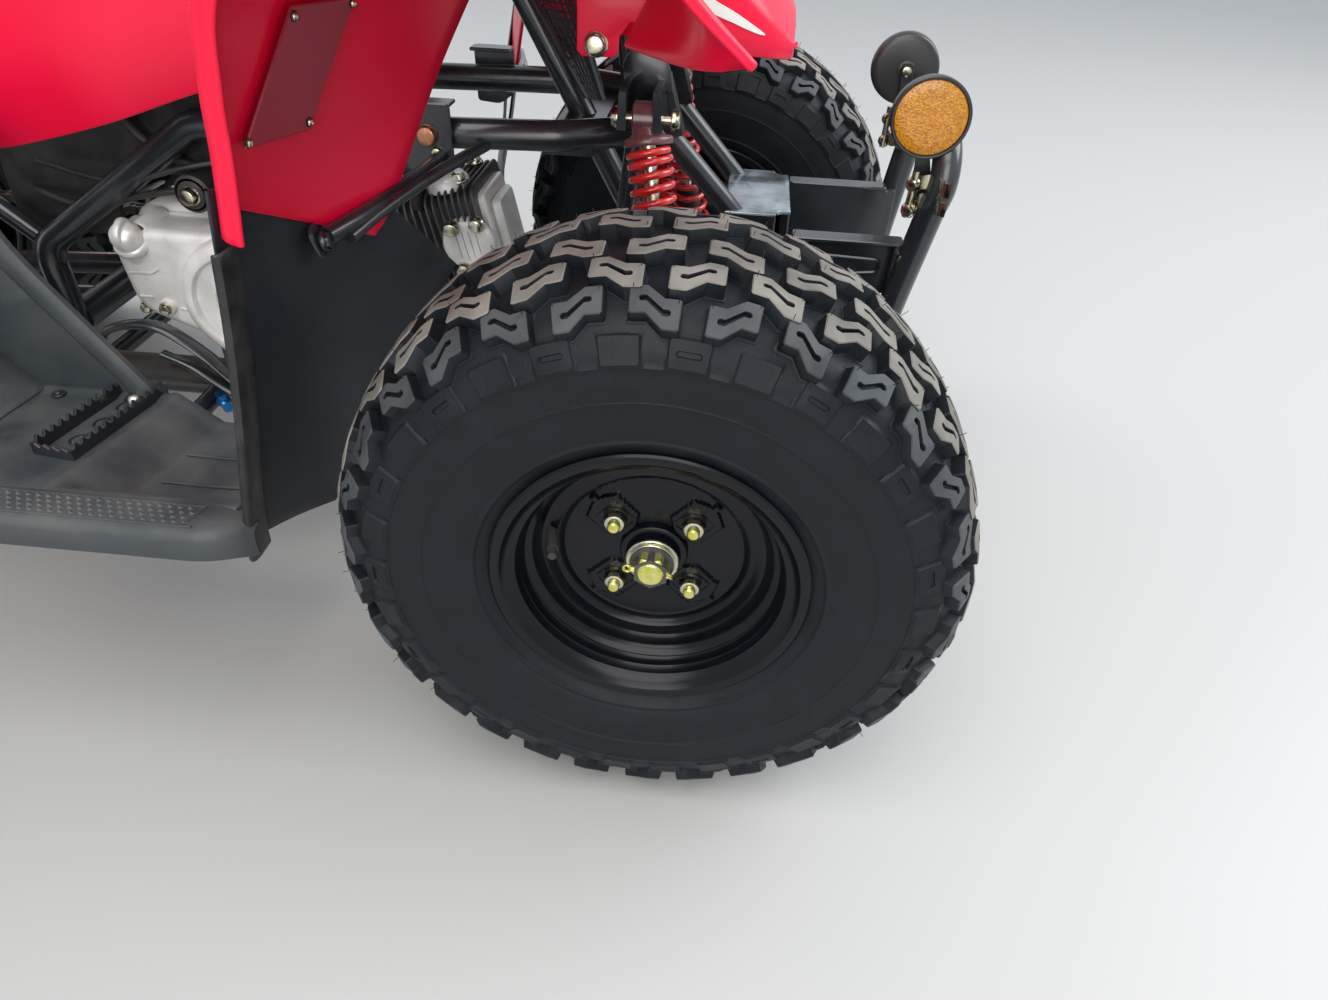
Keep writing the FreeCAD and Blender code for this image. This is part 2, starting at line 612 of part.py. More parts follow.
def damper(top, foot, body_r, rod_r, collar_share, across):
    """A coil-over damper's core: eye, body, collar, rod and lower eye, without its spring."""
    a, b = V(*top), V(*foot)
    side = V(*across) * 12
    upper_eye = rod(a - side, a + side, 11)
    lower_eye = rod(b - side, b + side, 11)
    body = rod(along(top, foot, 0.09), along(top, foot, 0.55), body_r)
    stem = rod(top, foot, rod_r)
    collar = rod(along(top, foot, collar_share), along(top, foot, collar_share + 0.03), body_r + 9)
    seat = rod(along(top, foot, 0.86), along(top, foot, 0.90), body_r + 9)
    return fused([upper_eye, lower_eye, body, stem, collar, seat])


def spring(top, foot, start_share, end_share, mean_r, wire_r, turns):
    """A coil drawn as a ribbed sleeve whose ribs stand where the turns do."""
    a, b = V(*along(top, foot, start_share)), V(*along(top, foot, end_share))
    axis = b - a
    pitch = axis.Length / turns
    profile = []
    for i in range(turns):
        profile += [(i * pitch + 0.1 * pitch, mean_r - wire_r * 0.2), (i * pitch + pitch * 0.5, mean_r + wire_r)]
    profile.append((turns * pitch, mean_r - wire_r * 0.2))
    inner = [(turns * pitch, mean_r - wire_r), (0.1 * pitch, mean_r - wire_r)]
    pts = [V(r, 0, h) for h, r in profile + inner]
    face = Part.Face(Part.makePolygon(pts + pts[:1]))
    sleeve = face.revolve(V(0, 0, 0), V(0, 0, 1), 360)
    sleeve.Placement = FreeCAD.Placement(a, FreeCAD.Rotation(V(0, 0, 1), axis))
    return sleeve


@once
def dampers():
    """Both front coil-overs and the single rear one."""
    front = damper(SHOCK_TOP, SHOCK_FOOT, 11, 6, 0.12, (1, 0, 0)).cut(front_arms()).cut(front_posts())
    rear = damper(REAR_SHOCK_TOP, REAR_SHOCK_FOOT, 16, 8, 0.14, (0, 1, 0))
    return Part.makeCompound([front, mirrored(front), rear])


@once
def springs():
    """The red coils of the three coil-overs."""
    front = spring(SHOCK_TOP, SHOCK_FOOT, 0.15, 0.86, 17, 3.4, 10)
    rear = spring(REAR_SHOCK_TOP, REAR_SHOCK_FOOT, 0.17, 0.86, 26, 5, 8)
    return Part.makeCompound([front, mirrored(front), rear])


# Rear suspension and axle

SWING_PIVOT = (-112.0, 0.0, 250.0)
CARRIER_R = 34.0


@once
def swingarm():
    """Two arms from the pivot tube to the round axle carrier, with the shock's bracket between."""
    px, _, pz = SWING_PIVOT
    pivot = rod((px, -96, pz), (px, 96, pz), 16)
    arms = [rod((px, s * 46, pz), (REAR_X + 30, s * 42, REAR_TYRE_R + 4), 13) for s in (-1, 1)]
    carrier = rod((REAR_X, -54, REAR_TYRE_R), (REAR_X, 54, REAR_TYRE_R), CARRIER_R)
    cheeks = Part.makeBox(70, 100, 34, V(REAR_X + 10, -50, REAR_TYRE_R - 12))
    x, _, z = REAR_SHOCK_FOOT
    bridge = rod((x, -46, 250), (x, 46, 250), 11)
    ears = [side_plate([(x - 18, 246), (x + 18, 246), (x + 11, z + 12), (x - 11, z + 12)], y0, y0 + 5) for y0 in (-17, 12)]
    bore = rod((REAR_X, -70, REAR_TYRE_R), (REAR_X, 70, REAR_TYRE_R), 15 + BORE_GAP)
    return fused([pivot] + arms + [carrier, cheeks, bridge] + ears).cut(bore).cut(upper_rails())


@once
def rear_axle():
    """The live axle with a splined hub, studs and nuts at each end."""
    shaft = rod((REAR_X, -REAR_TRACK / 2 - 62, REAR_TYRE_R), (REAR_X, REAR_TRACK / 2 + 62, REAR_TYRE_R), 15)
    back = REAR_DISC_OFFSET - 4
    hub = [(back - 52, 15), (back - 52, 24), (back - 8, 26), (back - 8, 56), (back, 56), (back, HUB_NOSE_R),
           (back + 14, HUB_NOSE_R), (back + 14, 15)]
    hub = revolved([(y * RIGHT, r) for y, r in hub], REAR_AXLE)
    parts = [hub] + stud_circle(REAR_AXLE, RIGHT, back - 4, back + 24, STUD_R)
    parts += wheel_nuts(REAR_AXLE, RIGHT, back + 4 + BORE_GAP)
    cy = REAR_AXLE[1]
    parts.append(hexagon_nut(30, 12, (REAR_X, cy + (back + 14) * RIGHT, REAR_TYRE_R), (0, RIGHT, 0)))
    side = fused(parts)
    return fused([shaft, side, mirrored(side)])


SPROCKET_Y = 72.0
CHAIN_WIDTH = 14.0
CHAIN_SEAT = 4.0
CHAIN_DEPTH = 10.0
SPROCKET_R = 82.0
FRONT_SPROCKET = (-20.0, SPROCKET_Y, 268.0)
FRONT_SPROCKET_R = 30.0
DISC_Y = -92.0


@once
def rear_carriers():
    """The sprocket on the left and the brake disc on the right, each on its carrier."""
    centre = (REAR_X, SPROCKET_Y, REAR_TYRE_R)
    teeth = 37
    ring = []
    for i in range(teeth * 2):
        a = math.pi * i / teeth
        r = SPROCKET_R if i % 2 else SPROCKET_R - 6
        ring.append(V(REAR_X + r * math.cos(a), SPROCKET_Y - 3, REAR_TYRE_R + r * math.sin(a)))
    sprocket = Part.Face(Part.makePolygon(ring + ring[:1])).extrude(V(0, 6, 0))
    windows = []
    for i in range(6):
        a = math.radians(60 * i)
        x, z = REAR_X + 52 * math.cos(a), REAR_TYRE_R + 52 * math.sin(a)
        windows.append(rod((x, SPROCKET_Y - 8, z), (x, SPROCKET_Y + 8, z), 13))
    sprocket = sprocket.cut(Part.makeCompound(windows))
    collar = revolved([(-12, 15), (-12, 28), (16, 28), (16, 15)], centre)
    sprocket = fused([sprocket, collar])
    disc_centre = (REAR_X, DISC_Y, REAR_TYRE_R)
    disc = revolved([(-2, 15), (-2, 92), (2, 92), (2, 15)], disc_centre)
    holes = []
    for i in range(12):
        a = math.radians(30 * i)
        x, z = REAR_X + 78 * math.cos(a), REAR_TYRE_R + 78 * math.sin(a)
        holes.append(rod((x, DISC_Y - 6, z), (x, DISC_Y + 6, z), 5))
    disc = fused([disc.cut(Part.makeCompound(holes)), revolved([(-14, 15), (-14, 28), (14, 28), (14, 15)], disc_centre)])
    shaft = rod((REAR_X, -200, REAR_TYRE_R), (REAR_X, 200, REAR_TYRE_R), 15)
    return Part.makeCompound([sprocket.cut(shaft), disc.cut(shaft)])


def facet_arc(centre, y, radius, start, end, facets):
    """Corners of a chain of chords outside an arc in the XZ plane."""
    reach = radius / math.cos((end - start) / facets / 2)
    corners = []
    for i in range(facets + 1):
        a = start + (end - start) * i / facets
        corners.append(V(centre[0] + reach * math.cos(a), y, centre[2] + reach * math.sin(a)))
    return corners


@once
def chain():
    """The drive chain's fixed loop round both sprockets."""
    rear = (REAR_X, 0.0, REAR_TYRE_R)
    dx, dz = FRONT_SPROCKET[0] - rear[0], FRONT_SPROCKET[2] - rear[2]
    base = math.atan2(dz, dx)
    lean = math.acos((SPROCKET_R - FRONT_SPROCKET_R) / math.hypot(dx, dz))

    def loop(grow):
        y = SPROCKET_Y - CHAIN_WIDTH / 2
        ring = facet_arc(rear, y, SPROCKET_R + grow, base + lean, base + 2 * math.pi - lean, 16)
        ring += facet_arc(FRONT_SPROCKET, y, FRONT_SPROCKET_R + grow, base - lean, base + lean, 8)
        return Part.Face(Part.makePolygon(ring + ring[:1])).extrude(V(0, CHAIN_WIDTH, 0))

    return loop(CHAIN_SEAT + CHAIN_DEPTH).cut(loop(CHAIN_SEAT))


# Engine and exhaust

CRANK = (FRONT_X - 400.0, 0.0, 306.0)
COVER_FACE_Y = -138.0
COVER_EDGE_R = 8.0
CLUTCH_R = 56.0
BOSS_R = 8.0


def face_edges(shape, y):
    """The edges that lie in the plane at y."""
    return [edge for edge in shape.Edges if all(abs(vertex.Y - y) < 0.01 for vertex in edge.Vertexes)]


@once
def engine_case():
    """The cast crankcase with its right clutch cover and left sprocket cover."""
    cx, _, cz = CRANK
    outline = [(cx - 150, cz + 44), (cx - 138, cz + 66), (cx - 40, cz + 76), (cx + 40, cz + 70), (cx + 88, cz + 62),
               (cx + 88, cz - 36), (cx + 40, cz - 78), (cx - 90, cz - 84), (cx - 140, cz - 50)]
    case = side_plate(outline, -84, 62)
    cover_line = [(cx - 146, cz + 52), (cx - 120, cz + 62), (cx - 20, cz + 60), (cx + 78, cz + 52), (cx + 82, cz - 34),
                  (cx + 30, cz - 64), (cx - 60, cz - 50), (cx - 136, cz - 20)]
    cover = side_plate(cover_line, COVER_FACE_Y, -84)
    cover = cover.makeFillet(COVER_EDGE_R, face_edges(cover, COVER_FACE_Y))
    bulge = rod((cx - 20, COVER_FACE_Y - 14, cz - 2), (cx - 20, COVER_FACE_Y + 20, cz - 2), CLUTCH_R)
    bulge = bulge.makeFillet(COVER_EDGE_R, face_edges(bulge, COVER_FACE_Y - 14))
    bosses = [rod((x, -84, z), (x, COVER_FACE_Y + 12, z), BOSS_R) for x, z in cover_line]
    filler = rod((cx - 122, -122, cz + 34), (cx - 122, -146, cz + 70), 12)
    left_cover = rod((cx + 10, 62, cz), (cx + 10, 92, cz), 62)
    x, y, z = FRONT_SPROCKET
    shaft = rod((x, 20, z), (x, y - 4, z), 24)
    sprocket = rod((x, y - 4, z), (x, y + 3, z), FRONT_SPROCKET_R + CHAIN_SEAT - BORE_GAP)
    return fused([case, cover, bulge, filler, left_cover, shaft, sprocket] + bosses)


CYLINDER_TILT = 12.0


@once
def engine_cylinder():
    """The forward-leaning barrel and head with their cooling fins."""
    cx, _, cz = CRANK
    base = V(cx + 86, 0, cz + 16)
    axis = V(math.cos(math.radians(CYLINDER_TILT)), 0, math.sin(math.radians(CYLINDER_TILT)))
    up = V(-axis.z, 0, axis.x)

    def slab(start, end, half_width, half_height):
        pts = [base + axis * start + V(0, s * half_width, 0) + up * (t * half_height)
               for s, t in ((-1, -1), (1, -1), (1, 1), (-1, 1))]
        return Part.Face(Part.makePolygon(pts + pts[:1])).extrude(axis * (end - start))

    parts = [slab(2, 70, 34, 38), slab(70, 118, 42, 46), slab(118, 128, 30, 34)]
    parts += [slab(10 + i * 9, 13 + i * 9, 52, 54) for i in range(7)]
    parts += [slab(76 + i * 10, 79 + i * 10, 54, 56) for i in range(4)]
    return fused(parts).cut(engine_case())


@once
def exhaust():
    """The header pipe under the engine and the silencer beside the seat on the right."""
    cx, _, cz = CRANK
    pipe = tube([(cx + 190, -24, cz + 16), (cx + 206, -30, 236), (cx + 100, -146, 232), (-60, -150, 232), (-240, -152, 430),
                 (-310, -152, 480)], 14, 34)
    can = tube([(-300, -152, 474), (-420, -158, 500), (-640, -158, 520)], 44, 40)
    tip = rod((-640, -158, 520), (-688, -158, 524), 19)
    hanger = rod((-470, -158, 505), (-470, -84, SEAT_RAIL_Z + 20), 7)
    bore = rod((-600, -158, 516.7), (-700, -158, 525), 15)
    return fused([pipe, can, tip, hanger]).cut(bore).cut(Part.makeCompound([seat_rails(), engine_cylinder()]))


# Bodywork

@once
def front_fenders():
    """The wings: a rear wall behind each front wheel that curves up and over it to a swept front edge."""
    rows = [
        # x from axle, z, outward tilt, inner y, inner dip, outer y
        (-262, 470, 167, -243, -36, -404),
        (-250, 540, 165, -165, -52, -412),
        (-226, 620, 158, -104, -62, -418),
        (-178, 690, 132, -96, -50, -425),
        (-110, 728, 98, -96, -24, -430),
        (-34, 704, 62, -100, -20, -428),
        (14, 652, 36, -130, -50, -418),
        (43, 602, 27, -196, -92, -404),
    ]
    stations = []
    for dx, z, tilt, y_in, dip, y_out in rows:
        a = math.radians(tilt)
        v = (math.cos(a), 0, math.sin(a))
        line = [(-y_in, dip), (-(y_in + y_out) / 2, dip * 0.35), (-y_out - 8, 0), (-y_out, -6), (-y_out - 1, -20)]
        stations.append(((FRONT_X + dx, 0, z), (0, -1, 0), v, line))
    wing = skin_loft(stations, SKIN).cut(cowl_core())
    return pair(max(wing.Solids, key=lambda solid: solid.Volume))


COWL_ROWS = [
    # x from axle, half width top, half width bottom, z top, z shoulder, z bottom
    (-300, 86, 118, RIDGE_Z, RIDGE_Z - 52, 640),
    (-170, 94, 118, RIDGE_Z - 42, RIDGE_Z - 84, 590),
    (-95, 96, 118, 736, 700, 560),
    (0, 84, 114, 664, 632, 543),
    (50, 62, 92, 606, 586, 538),
    (79, 34, 58, 566, 556, 532),
]


def cowl_line(row):
    """The cowl's outer line at one station, as (y, z) points from low right over the top to low left."""
    _, top_half, low_half, z_top, z_shoulder, z_low = row
    return [(-low_half, z_low), (-low_half, z_shoulder - 14), (-top_half, z_shoulder + 6), (0, z_top),
            (top_half, z_shoulder + 6), (low_half, z_shoulder - 14), (low_half, z_low)]


@once
def cowl_core():
    """The room inside the cowl, up to its outer face."""
    wires = []
    for row in COWL_ROWS:
        pts = [V(FRONT_X + row[0], y, z) for y, z in cowl_line(row)]
        wires.append(Part.makePolygon(pts + pts[:1]))
    return Part.makeLoft(wires, True, True)


@once
def nose_cowl():
    """The centre cowl: side walls inside the wheel arches and a sloping top down to the beak."""
    stations = [((FRONT_X + row[0], 0, 0), (0, 1, 0), (0, 0, 1), cowl_line(row)) for row in COWL_ROWS]
    room = rod(on_column(380), on_column(700), COLUMN_R + 8)
    return skin_loft(stations, SKIN, True).cut(front_posts()).cut(room)


COVER_ROWS = [
    # x, half width top, half width bottom, z top, z shoulder, z bottom
    (225, 72, 132, RIDGE_Z, RIDGE_Z - 50, 560),
    (150, 74, 150, RIDGE_Z - 18, RIDGE_Z - 70, 500),
    (40, 76, 168, 768, 712, 476),
    (-88, 70, 160, 730, 684, 540),
]


@once
def centre_cover():
    """The tank cover and side panels between the steering column and the seat."""
    stations = []
    for x, top_half, low_half, z_top, z_shoulder, z_low in COVER_ROWS:
        middle = (z_low + z_shoulder) / 2
        line = [(-low_half, z_low), (-low_half - 6, middle), (-top_half - 30, z_shoulder - 8), (-top_half, z_shoulder + 16),
                (0, z_top),
                (top_half, z_shoulder + 16), (top_half + 30, z_shoulder - 8), (low_half + 6, middle), (low_half, z_low)]
        stations.append(((x, 0, 0), (0, 1, 0), (0, 0, 1), line))
    room = rod(on_column(380), on_column(700), COLUMN_R + 8)
    return skin_loft(stations, SKIN, True).cut(room)


SEAT_ROWS = [
    # x, half width at base, half width at top, z base, z top
    (-88.3, 100, 70, SEAT_RAIL_Z + 12, 742),
    (-150, 106, 80, SEAT_RAIL_Z + 14, 736),
    (-300, 118, 92, SEAT_RAIL_Z + 20, 728),
    (-480, 128, 104, SEAT_RAIL_Z + 28, 742),
    (-590, 118, 96, SEAT_RAIL_Z + 32, 754),
]


@once
def seat():
    """The long padded seat."""
    wires = []
    for x, low, top, z0, z1 in SEAT_ROWS:
        ring = [(-low, z0), (-low - 2, z0 + (z1 - z0) * 0.5), (-top, z1 - 6), (0, z1), (top, z1 - 6),
                (low + 2, z0 + (z1 - z0) * 0.5), (low, z0)]
        pts = [V(x, y, z) for y, z in ring]
        wires.append(Part.makePolygon(pts + pts[:1]))
    return Part.makeLoft(wires, True, True).cut(seat_rails())


TAIL_HALF = 138.0
TAIL_ROWS = [
    # x, z of the deck, z of the skirt
    (-590.3, 722, 648),
    (-650, 708, 632),
    (-712, 676, 606),
    (-744, 632, 590),
]


@once
def tail_cover():
    """The panel behind the seat between the rear wings, which carries the tail lamp."""
    stations = []
    for x, top, low in TAIL_ROWS:
        line = [(-TAIL_HALF, low), (-TAIL_HALF, top - 12), (-TAIL_HALF + 14, top), (TAIL_HALF - 14, top),
                (TAIL_HALF, top - 12), (TAIL_HALF, low)]
        stations.append(((x, 0, 0), (0, 1, 0), (0, 0, 1), line))
    floor = Part.makeBox(60, 2 * TAIL_HALF - 8, 4, V(-650.3, -TAIL_HALF + 4, SEAT_RAIL_Z + 35))
    return skin_loft(stations, SKIN, True).fuse(floor).removeSplitter().cut(seat_rails())


@once
def tail_lamp():
    """The red lamp on the tail's rear face."""
    block = side_plate([(-740, 594), (-766.5, 594), (-764, 622), (-752, 636), (-740, 640)], -60, 60)
    core = Part.makeBox(200, 2 * TAIL_HALF, 200, V(TAIL_ROWS[-1][0], -TAIL_HALF, 500))
    return block.cut(tail_cover()).cut(core)


@once
def rear_fenders():
    """The rear wings over the wheels, whose inner edges run in under the seat and against the tail."""
    rows = [
        # x from axle, z, outward tilt, inner y, inner rise, outer y
        (300, 508, 40, -186, 18, -372),
        (246, 560, 50, -168, 26, -400),
        (150, 622, 66, -96, 36, -424),
        (20, 652, 86, -96, 14, -432),
        (-110, 640, 104, -96, 6, -430),
        (-206, 596, 122, -96, 8, -414),
    ]
    stations = []
    for dx, z, tilt, y_in, rise, y_out in rows:
        a = math.radians(tilt)
        v = (math.cos(a), 0, math.sin(a))
        line = [(-y_in, rise), (-y_in + 50, rise * 0.8), (-(y_in + y_out) / 2 + 20, 6), (-y_out - 8, 0), (-y_out, -6),
                (-y_out - 1, -24)]
        stations.append(((REAR_X + dx, 0, z), (0, -1, 0), v, line))
    wing = skin_loft(stations, SKIN)
    room = Part.makeBox(400, 2 * TAIL_HALF, 200, V(-990.3, -TAIL_HALF, 560))
    wing = wing.cut(room).cut(seat_rails()).cut(seat())
    return pair(max(wing.Solids, key=lambda solid: solid.Volume))


def flap_rows(back):
    """Lines down the back of the front wing: (z, y outer, x outer, y inner, x inner), moved back."""
    return [
        (460, -399, FRONT_X - 264 - back, -244, FRONT_X - 229 - back),
        (352, -394, FRONT_X - 284 - back, -110, FRONT_X - 222 - back),
        (228, -380, FRONT_X - 312 - back, -262, FRONT_X - 286 - back),
    ]


@once
def mud_flaps():
    """Flat sheets hung between the front wings' rear walls and the foot wells."""
    stations = []
    for z, y_out, x_out, y_in, x_in in flap_rows(0.5):
        stations.append(((0, 0, z), (0, 1, 0), (1, 0, 0), [(y_out, x_out), (y_in, x_in)]))
    return pair(skin_loft(stations, 3, True))


@once
def footwells():
    """Moulded foot wells: tread board with its outer lip, front strip up to the wing, heel wall and inner wall."""
    front, heel, top = FRONT_X - 312, -20.0, FLOOR_Z + 10
    rear = -196.0
    board = [
        (front, 214), (front - 4, top - 12), (front - 40, top), (heel, top), (heel - 26, top + 6), (rear, 452),
        (rear - 34, 500), (rear - 38, 497), (rear - 4, 448), (heel - 28, top + 1), (heel, top - 4), (front - 42, top - 4),
        (front - 8, top - 15), (front - 4, 214),
    ]
    floor = side_plate(board, -BOARD_OUT_Y, -248)
    lip_line = [(front, 214), (front - 4, top - 12), (front - 40, top), (heel, top), (heel - 26, top + 6), (heel - 60, top - 2),
                (heel - 30, top - 26), (front - 30, top - 30), (front - 12, 214)]
    lip = side_plate(lip_line, -BOARD_OUT_Y - 12, -BOARD_OUT_Y)
    ribs = [Part.makeBox(GRIP_RIB, 18, GRIP_RIB / 2, V(heel + 14 + i * 3 * GRIP_RIB, -BOARD_OUT_Y - 2, top))
            for i in range(GRIP_RIBS)]
    wall = side_plate([(60, top - 4), (heel - 26, top), (rear, 448), (rear - 34, 497), (-30, 470), (-18, 397)], -252, -248)
    strip_rows = []
    for z, y_out, x_out, y_in, x_in in flap_rows(4.0):
        y_edge = -BOARD_OUT_Y + (460 - z) * 0.07
        strip_rows.append(((0, 0, z), (0, 1, 0), (1, 0, 0), [(y_edge, x_out), (y_out + 14, x_out + 3)]))
    strip = skin_loft(strip_rows, 4, True)
    keep = Part.makeCompound([mud_flaps(), front_fenders()])
    return pair(fused([floor, lip, wall, strip] + ribs)).cut(keep)


@once
def foot_pegs():
    """Serrated pegs over the tread boards, on arms from the lower rails."""
    x, z = FRONT_X - 492, FLOOR_Z + 22
    plates = []
    for dx in (-17, 14):
        ridge = [V(x + dx, -250, z - 10)]
        teeth = 10
        for i in range(teeth):
            y = -252 - i * 11
            ridge += [V(x + dx, y, z + 5), V(x + dx, y - 5.5, z - 1)]
        ridge.append(V(x + dx, -252 - teeth * 11 + 5, z - 10))
        plates.append(Part.Face(Part.makePolygon(ridge + ridge[:1])).extrude(V(3, 0, 0)))
    tray = Part.makeBox(34, 105, 3, V(x - 17, -357, z - 12))
    end = Part.makeBox(34, 3, 14, V(x - 17, -360, z - 12))
    arm = tube([(x, -100, RAIL_Z + 4), (x, -190, RAIL_Z + 6), (x, -330, FLOOR_Z - 6)], TUBE_R, 40)
    side = fused(plates + [tray, end])
    return pair(Part.makeCompound([side, arm])).cut(Part.makeCompound([footwells(), lower_rails()]))


@once
def fender_stays():
    """Bent bars from the upper rails out to the wings' lower edges."""
    bar = tube([(FRONT_X - 226, -RAIL_Y + 2, 462), (FRONT_X - 228, -190, 454), (FRONT_X - 250, -330, 446)], 7, 20)
    keep = Part.makeCompound([front_fenders(), mud_flaps(), upper_rails()])
    return pair(bar).cut(keep)


@once
def headlamps():
    """Two slanted lamps low in the nose."""
    lens = side_plate([(FRONT_X + 30, 628), (FRONT_X + 92, 588), (FRONT_X + 98, 566), (FRONT_X + 30, 600)], -84, -34)
    return pair(lens.cut(cowl_core()))


@once
def grab_bar():
    """The rear grab bar under the tail."""
    z = SEAT_RAIL_Z + 24
    bar = tube([(-548, -62, z), (-660, -96, 568), (-744, -110, 560), (-744, 110, 560), (-660, 96, 568), (-548, 62, z)], 9, 24)
    return bar.cut(seat_rails())


def build():
    """Every node by name."""
    front_tyre = tyre(FRONT_TYRE_R, FRONT_TYRE_WIDTH, FRONT_RIM_WIDTH, FRONT_LUGS, FRONT_AXLE)
    front_rim = rim(FRONT_RIM_WIDTH, FRONT_DISC_OFFSET, FRONT_AXLE, RIGHT)
    hub = front_hub()
    stub = knuckle()
    link = tie_rod()
    rear_tyre = tyre(REAR_TYRE_R, REAR_TYRE_WIDTH, REAR_RIM_WIDTH, REAR_LUGS, REAR_AXLE)
    rear_rim = rim(REAR_RIM_WIDTH, REAR_DISC_OFFSET, REAR_AXLE, RIGHT)
    return {
        "front_tyre_right": front_tyre, "front_tyre_left": mirrored(front_tyre),
        "front_rim_right": front_rim, "front_rim_left": mirrored(front_rim),
        "front_hub_right": hub, "front_hub_left": mirrored(hub),
        "knuckle_right": stub, "knuckle_left": mirrored(stub),
        "tie_rod_right": link, "tie_rod_left": mirrored(link),
        "rear_tyres": pair(rear_tyre), "rear_rims": pair(rear_rim),
        "rear_axle": rear_axle(), "rear_carriers": rear_carriers(),
        "steering_column": steering_column(), "handlebar": handlebar(), "grips": grips(),
        "brake_levers": brake_levers(), "instrument_pod": instrument_pod(),
        "lower_rails": lower_rails(), "upper_rails": upper_rails(), "seat_rails": seat_rails(),
        "front_posts": front_posts(), "crossbars": crossbars(), "saddle_plate": saddle(), "bumper": bumper(),
        "reflector_housings": reflector_housings(), "reflector_lenses": reflector_lenses(),
        "front_arms": front_arms(), "dampers": dampers(), "springs": springs(), "swingarm": swingarm(),
        "chain": chain(), "engine_case": engine_case(), "engine_cylinder": engine_cylinder(), "exhaust": exhaust(),
        "front_fenders": front_fenders(), "nose_cowl": nose_cowl(), "centre_cover": centre_cover(), "seat": seat(),
        "rear_fenders": rear_fenders(), "tail_cover": tail_cover(), "tail_lamp": tail_lamp(),
        "footwells": footwells(), "mud_flaps": mud_flaps(), "foot_pegs": foot_pegs(),
        "fender_stays": fender_stays(), "headlamps": headlamps(), "grab_bar": grab_bar(),
    }


os.makedirs("parts", exist_ok=True)
for name, shape in build().items():
    shape.exportStep("parts/" + name + ".step")
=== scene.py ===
import math

import bmesh
import bpy
import numpy as np
from mathutils import Matrix, Vector


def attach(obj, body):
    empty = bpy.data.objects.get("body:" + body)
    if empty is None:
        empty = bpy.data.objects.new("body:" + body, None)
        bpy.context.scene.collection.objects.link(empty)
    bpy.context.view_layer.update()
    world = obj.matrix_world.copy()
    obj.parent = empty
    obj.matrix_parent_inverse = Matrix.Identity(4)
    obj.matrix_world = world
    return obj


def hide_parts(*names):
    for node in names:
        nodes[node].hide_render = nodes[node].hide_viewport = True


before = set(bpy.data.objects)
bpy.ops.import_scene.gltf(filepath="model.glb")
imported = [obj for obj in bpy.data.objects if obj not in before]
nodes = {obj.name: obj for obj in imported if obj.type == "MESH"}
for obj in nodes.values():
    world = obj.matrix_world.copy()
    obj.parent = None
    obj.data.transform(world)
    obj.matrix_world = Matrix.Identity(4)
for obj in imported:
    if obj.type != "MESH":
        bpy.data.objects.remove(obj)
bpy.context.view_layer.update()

# The welded frame: round steel tubes mitred and welded into a cradle, a seat loop and the posts that
# carry the front wishbones. It is sprayed gloss black, with a fine orange peel and a little dust.
MM = 0.001
FRAME_NODES = ["lower_rails", "upper_rails", "seat_rails", "front_posts", "crossbars", "grab_bar"]
# The frame black and its second tone lean blue: a painted reflection of the cool window light.
FRAME_BLACK_BLUE_REFLECTION = (0.007, 0.010, 0.014)
FRAME_SHADE_BLUE_REFLECTION = (0.016, 0.020, 0.025)
DUST_PATCHES = 22.0
RELIEF_DEPTH = 0.0006


def add(tree, kind, links=None, **settings):
    """A node of the kind, with its settings and its sockets' values or links."""
    made = tree.nodes.new(kind)
    for name, value in settings.items():
        setattr(made, name, value)
    for name, value in (links or {}).items():
        if isinstance(value, bpy.types.NodeSocket):
            tree.links.new(value, made.inputs[name])
        else:
            made.inputs[name].default_value = value
    return made


def new_group(name, inputs, outputs):
    """An empty node group with named sockets, and its input and output nodes."""
    group = bpy.data.node_groups.new(name, "ShaderNodeTree")
    for label, kind in inputs:
        group.interface.new_socket(label, in_out="INPUT", socket_type="NodeSocket" + kind)
    for label, kind in outputs:
        group.interface.new_socket(label, in_out="OUTPUT", socket_type="NodeSocket" + kind)
    return group, add(group, "NodeGroupInput"), add(group, "NodeGroupOutput")


def grain_group():
    """Two tones mixed by a broad noise, a roughness that wanders with it, and a fine height."""
    inputs = [("Colour", "Color"), ("Shade", "Color"), ("Scale", "Float"), ("Fine Scale", "Float"),
              ("Roughness", "Float"), ("Spread", "Float")]
    group, given, result = new_group("grain", inputs, [("Colour", "Color"), ("Roughness", "Float"),
                                                       ("Height", "Float")])
    place = add(group, "ShaderNodeTexCoord").outputs["Object"]
    broad = add(group, "ShaderNodeTexNoise", {"Vector": place, "Scale": given.outputs["Scale"],
                                              "Detail": 5.0})
    fine = add(group, "ShaderNodeTexNoise", {"Vector": place, "Scale": given.outputs["Fine Scale"],
                                             "Detail": 2.0})
    share = add(group, "ShaderNodeMapRange", {"Value": broad.outputs["Fac"], "From Min": 0.35,
                                              "From Max": 0.68})
    mixed = add(group, "ShaderNodeMix", {"Factor": share.outputs["Result"]}, data_type="RGBA")
    group.links.new(given.outputs["Colour"], mixed.inputs["A"])
    group.links.new(given.outputs["Shade"], mixed.inputs["B"])
    offset = add(group, "ShaderNodeMath", {0: share.outputs["Result"], 1: 0.5}, operation="SUBTRACT")
    wander = add(group, "ShaderNodeMath", {0: offset.outputs[0], 1: given.outputs["Spread"],
                                           2: given.outputs["Roughness"]}, operation="MULTIPLY_ADD")
    group.links.new(mixed.outputs["Result"], result.inputs["Colour"])
    group.links.new(wander.outputs[0], result.inputs["Roughness"])
    group.links.new(fine.outputs["Fac"], result.inputs["Height"])
    return group


